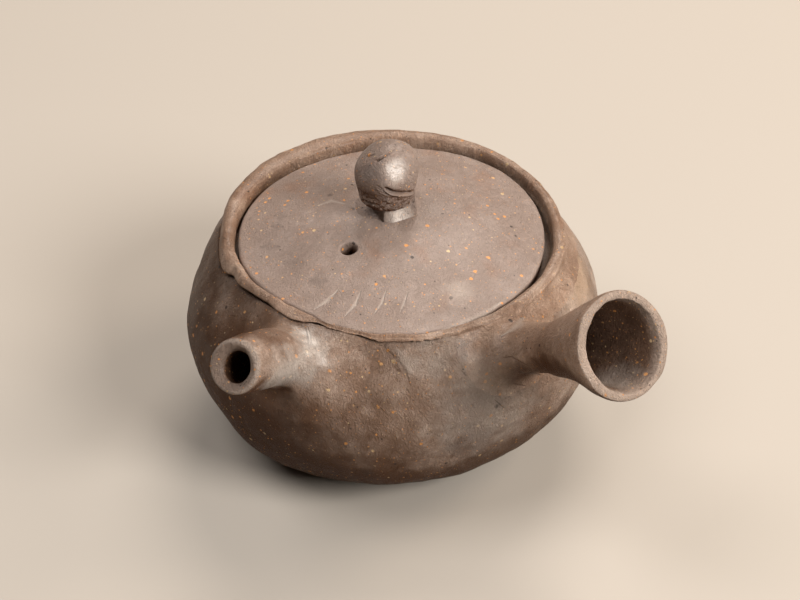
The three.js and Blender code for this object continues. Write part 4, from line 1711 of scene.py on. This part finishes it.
# Round the handle's root, the handle and the wall share these, so no line shows between them.
# They paint light on the wall below the handle and brown shade under its root.
ROOT_MARKS = [
    ([(-25.7, -42.7, 35.5)], 20.0, PAINTED_HIGHLIGHT_PALE, 0.36, 0, 0.15),
    ([(-15.5, -45.5, 41.5)], 7.0, PAINTED_SHADE_BROWN, 0.75, 0, 0),
    ([(-17.5, -50.0, 43.5)], 11.0, PAINTED_SHADE_BROWN, 0.8, 0, 0),
]
WALL_MARKS = SPOUT_MARKS + ROOT_MARKS + [
    # The crease below the rim is painted with shade in its hollow and a highlight on the ridge beside
    # it, and the pale spots on the shoulder are painted highlights.
    (CREASE, 0.55, PAINTED_SHADE_BROWN, 0.4, 0.5, 0),
    ([(-34.9, -19.8, 50.6), (-35.9, -22.4, 49.0), (-36.8, -24.6, 46.8)], 3.2, PAINTED_SHADE_BROWN, 0.35, 0.875, 0),
    ([(-34.2, -22.9, 50.4), (-34.9, -25.5, 49.0), (-35.6, -27.6, 46.6)], 2.4, RUBBED_AND_HIGHLIGHT, 0.4, -0.625, 0.25),
    ([(-27.2, -36.0, 45.4), (-27.0, -37.2, 44.1)], 0.35, SOOT, 0.5, 0.3, 0),
    ([(-23.8, -43.4, 36.9), (-22.2, -45.1, 34.0)], 0.35, SOOT, 0.6, 0.35, 0),
    ([(-23.8, -43.9, 35.3)], 0.9, SOOT, 0.7, 0.125, 0),
    ([(-34.4, -27.3, 47.9)], 3.2, RUBBED_AND_HIGHLIGHT, 0.4, 0, 0.3),
    ([(-30.7, -31.3, 47.4)], 4.5, RUBBED_AND_HIGHLIGHT, 0.35, 0, 0.3),
    ([(-43.3, -22.9, 41.0)], 4.0, PAINTED_SHADE_BROWN, 0.35, 0, 0),
    # Painted warm light on the far right of the body.
    ([(15.5, -41.5, 48.0)], 15.0, PAINTED_WARM_LIGHT, 0.55, 0, 0.3),
]
print(len(WALL_MARKS), "marks on the wall")

# %% Marks of the handle
HANDLE_MARKS = ROOT_MARKS + [
    # Thin creases at the root and a pale ridge are painted with shade and light, the large brown spots
    # paint shade on the handle's underside, and the pale spot low in the mouth is a painted highlight.
    ([(-17.5, -41.3, 45.9), (-15.4, -42.2, 45.7), (-12.7, -44.8, 43.4)], 0.4, PAINTED_SHADE_BROWN, 0.5, 0.3, 0),
    ([(-15.6, -44.6, 42.0), (-13.3, -46.7, 39.7), (-11.0, -48.2, 37.6)], 0.8, SOOT, 0.5, 0.5, 0),
    ([(-18.6, -44.9, 39.3), (-15.6, -47.1, 36.9)], 0.35, PAINTED_SHADE_BROWN, 0.5, 0.3, 0),
    ([(-7.0, -39.3, 50.2), (-8.2, -41.1, 50.0)], 0.4, SOOT, 0.7, 0.5, 0),
    ([(-15.2, -39.3, 49.5), (-10.1, -40.6, 50.1), (-3.7, -41.5, 50.1)], 0.8, RUBBED_AND_HIGHLIGHT, 0.5, -0.375, 0),
    ([(-24.0, -57.5, 51.5)], 12.0, PAINTED_SHADE_BROWN, 0.85, 0, 0),
    ([(-27.0, -64.5, 56.5)], 12.5, PAINTED_SHADE_BROWN, 0.85, 0, 0),
    ([(-22.5, -73.0, 58.0)], 8.0, RUBBED_AND_HIGHLIGHT, 0.6, 0, 0),
]
print(len(HANDLE_MARKS), "marks on the handle")

# %% Marks of the lid and the knob
# The pale strokes, the pale band along the front edge and the broad pale patch are painted highlights
# with a sheen.
LID_MARKS = [
    ([(-35.4, -0.7, 53.5), (-32.4, -2.2, 54.4), (-28.4, -2.5, 55.3)], 0.8, RUBBED_AND_HIGHLIGHT, 0.5, 0.3, 0.75),
    ([(-33.9, -8.2, 53.6), (-30.2, -8.6, 54.6), (-26.1, -7.5, 55.6)], 0.7, RUBBED_AND_HIGHLIGHT, 0.45, 0.3, 0.75),
    ([(-30.1, -13.8, 54.1), (-26.8, -13.8, 55.0), (-23.2, -12.6, 55.8)], 0.6, RUBBED_AND_HIGHLIGHT, 0.4, 0.25, 0.75),
    ([(-26.6, -18.7, 54.2), (-24.2, -18.2, 54.9), (-21.0, -17.2, 55.6)], 0.6, RUBBED_AND_HIGHLIGHT, 0.35, 0.25, 0.75),
    ([(-26.4, 14.6, 54.9), (-24.8, 10.1, 55.7)], 3.4, SOOT, 0.22, 0.125, 0),
    ([(-29.0, 5.4, 55.0), (-27.3, 1.4, 55.6)], 2.4, SOOT, 0.22, 0.125, 0),
    ([(-12.1, 27.8, 54.8), (-11.4, 24.6, 55.6)], 1.4, SOOT, 0.22, 0.1, 0),
    ([(-16.2, 25.8, 54.8), (-15.4, 22.7, 55.6)], 1.4, SOOT, 0.2, 0.1, 0),
    ([(-23.4, 23.9, 54.0), (-22.0, 18.9, 55.2)], 1.3, SOOT, 0.22, 0.1, 0),
    ([(-5.5, 19.3, 57.2), (-2.4, 17.2, 57.7), (-2.2, 13.2, 58.2)], 0.5, RUBBED_AND_HIGHLIGHT, 0.4, -0.1, 0.5),
    ([(-0.1, 19.1, 57.4)], 1.0, SOOT, 0.5, 0.125, 0),
    ([(-3.0, 10.2, 58.3)], 0.9, SOOT, 0.6, 0.125, 0),
    ([(-26.1, -29.4, 52.9), (-22.3, -32.5, 52.9), (-17.3, -34.9, 52.9), (-9.6, -35.8, 53.1)],
     1.8, RUBBED_AND_HIGHLIGHT, 0.5, 0, 0.5),
    ([(-13.0, -27.0, 55.0)], 6.0, RUBBED_AND_HIGHLIGHT, 0.4, 0, 0.25),
    ([(-17.8, 3.7, 55.4)], 1.7, ORANGE, 0.6, 0, 0),
]


def on_knob(x, y):
    """A place just under the knob's skin, x mm to the right of its middle and y mm above it."""
    way = spot(x, y)
    return tuple(KNOB + way * (lump_radius(way) - 0.6))


# A painted highlight on the pressed face, and painted shade low on the left and on the left side.
KNOB_MARKS = [
    ([on_knob(2.9, 0.9)], 4.6, RUBBED_AND_HIGHLIGHT, 0.85, 0, 0.8),
    ([on_knob(-4.0, -4.0)], 6.0, PAINTED_SHADE_BROWN, 0.55, 0, 0),
    ([on_knob(-4.5, 0.5)], 4.5, PAINTED_KNOB_SHADE, 0.5, 0, 0.1),
]
# A painted highlight on the knife-cut front face of the neck.
NECK_MARKS = [([(-1.4, -2.9, 60.2)], 5.0, PAINTED_NECK_HIGHLIGHT, 0.95, 0, 0.9)]
print(len(LID_MARKS + KNOB_MARKS + NECK_MARKS), "marks on the lid")

# %% Finishes
LID_DRY = {"roughness": 0.55, "side_shading": 0.0}
KNOB_DRY = {"roughness": 0.5, "side_shading": 0.0}
wall_clay = clay("wall_clay", BODY_PALE, BODY_DARK, WALL_MARKS, wrinkles=1.25)
rim_clay = clay("rim_clay", RIM_PALE, RIM_DARK, wrinkles=0.8, roughness=0.55, side_shading=0.4)
spout_clay = clay("spout_clay", BODY_PALE, BODY_DARK, SPOUT_MARKS, wrinkles=0.7)
handle_clay = clay("handle_clay", RIM_PALE, RIM_DARK, HANDLE_MARKS, wrinkles=0.7)
lid_clay = clay("lid_clay", LID_PALE, LID_DARK, LID_MARKS, wrinkles=0.35, **LID_DRY)
knob_clay = clay("knob_clay", LID_PALE, LID_DARK, KNOB_MARKS + NECK_MARKS, wrinkles=0.5, **KNOB_DRY)

# %% Clay on every piece
CLAYS = {
    wall_clay: (foot, wall),
    rim_clay: (rim, seat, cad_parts["strainer"]),
    spout_clay: (spout,),
    handle_clay: (handle,),
    lid_clay: (lid, flange),
    knob_clay: (neck, knob),
}
for finish, pieces in CLAYS.items():
    for piece in pieces:
        piece.data.materials.clear()
        piece.data.materials.append(finish)
print("clays on", sum(len(pieces) for pieces in CLAYS.values()), "pieces")
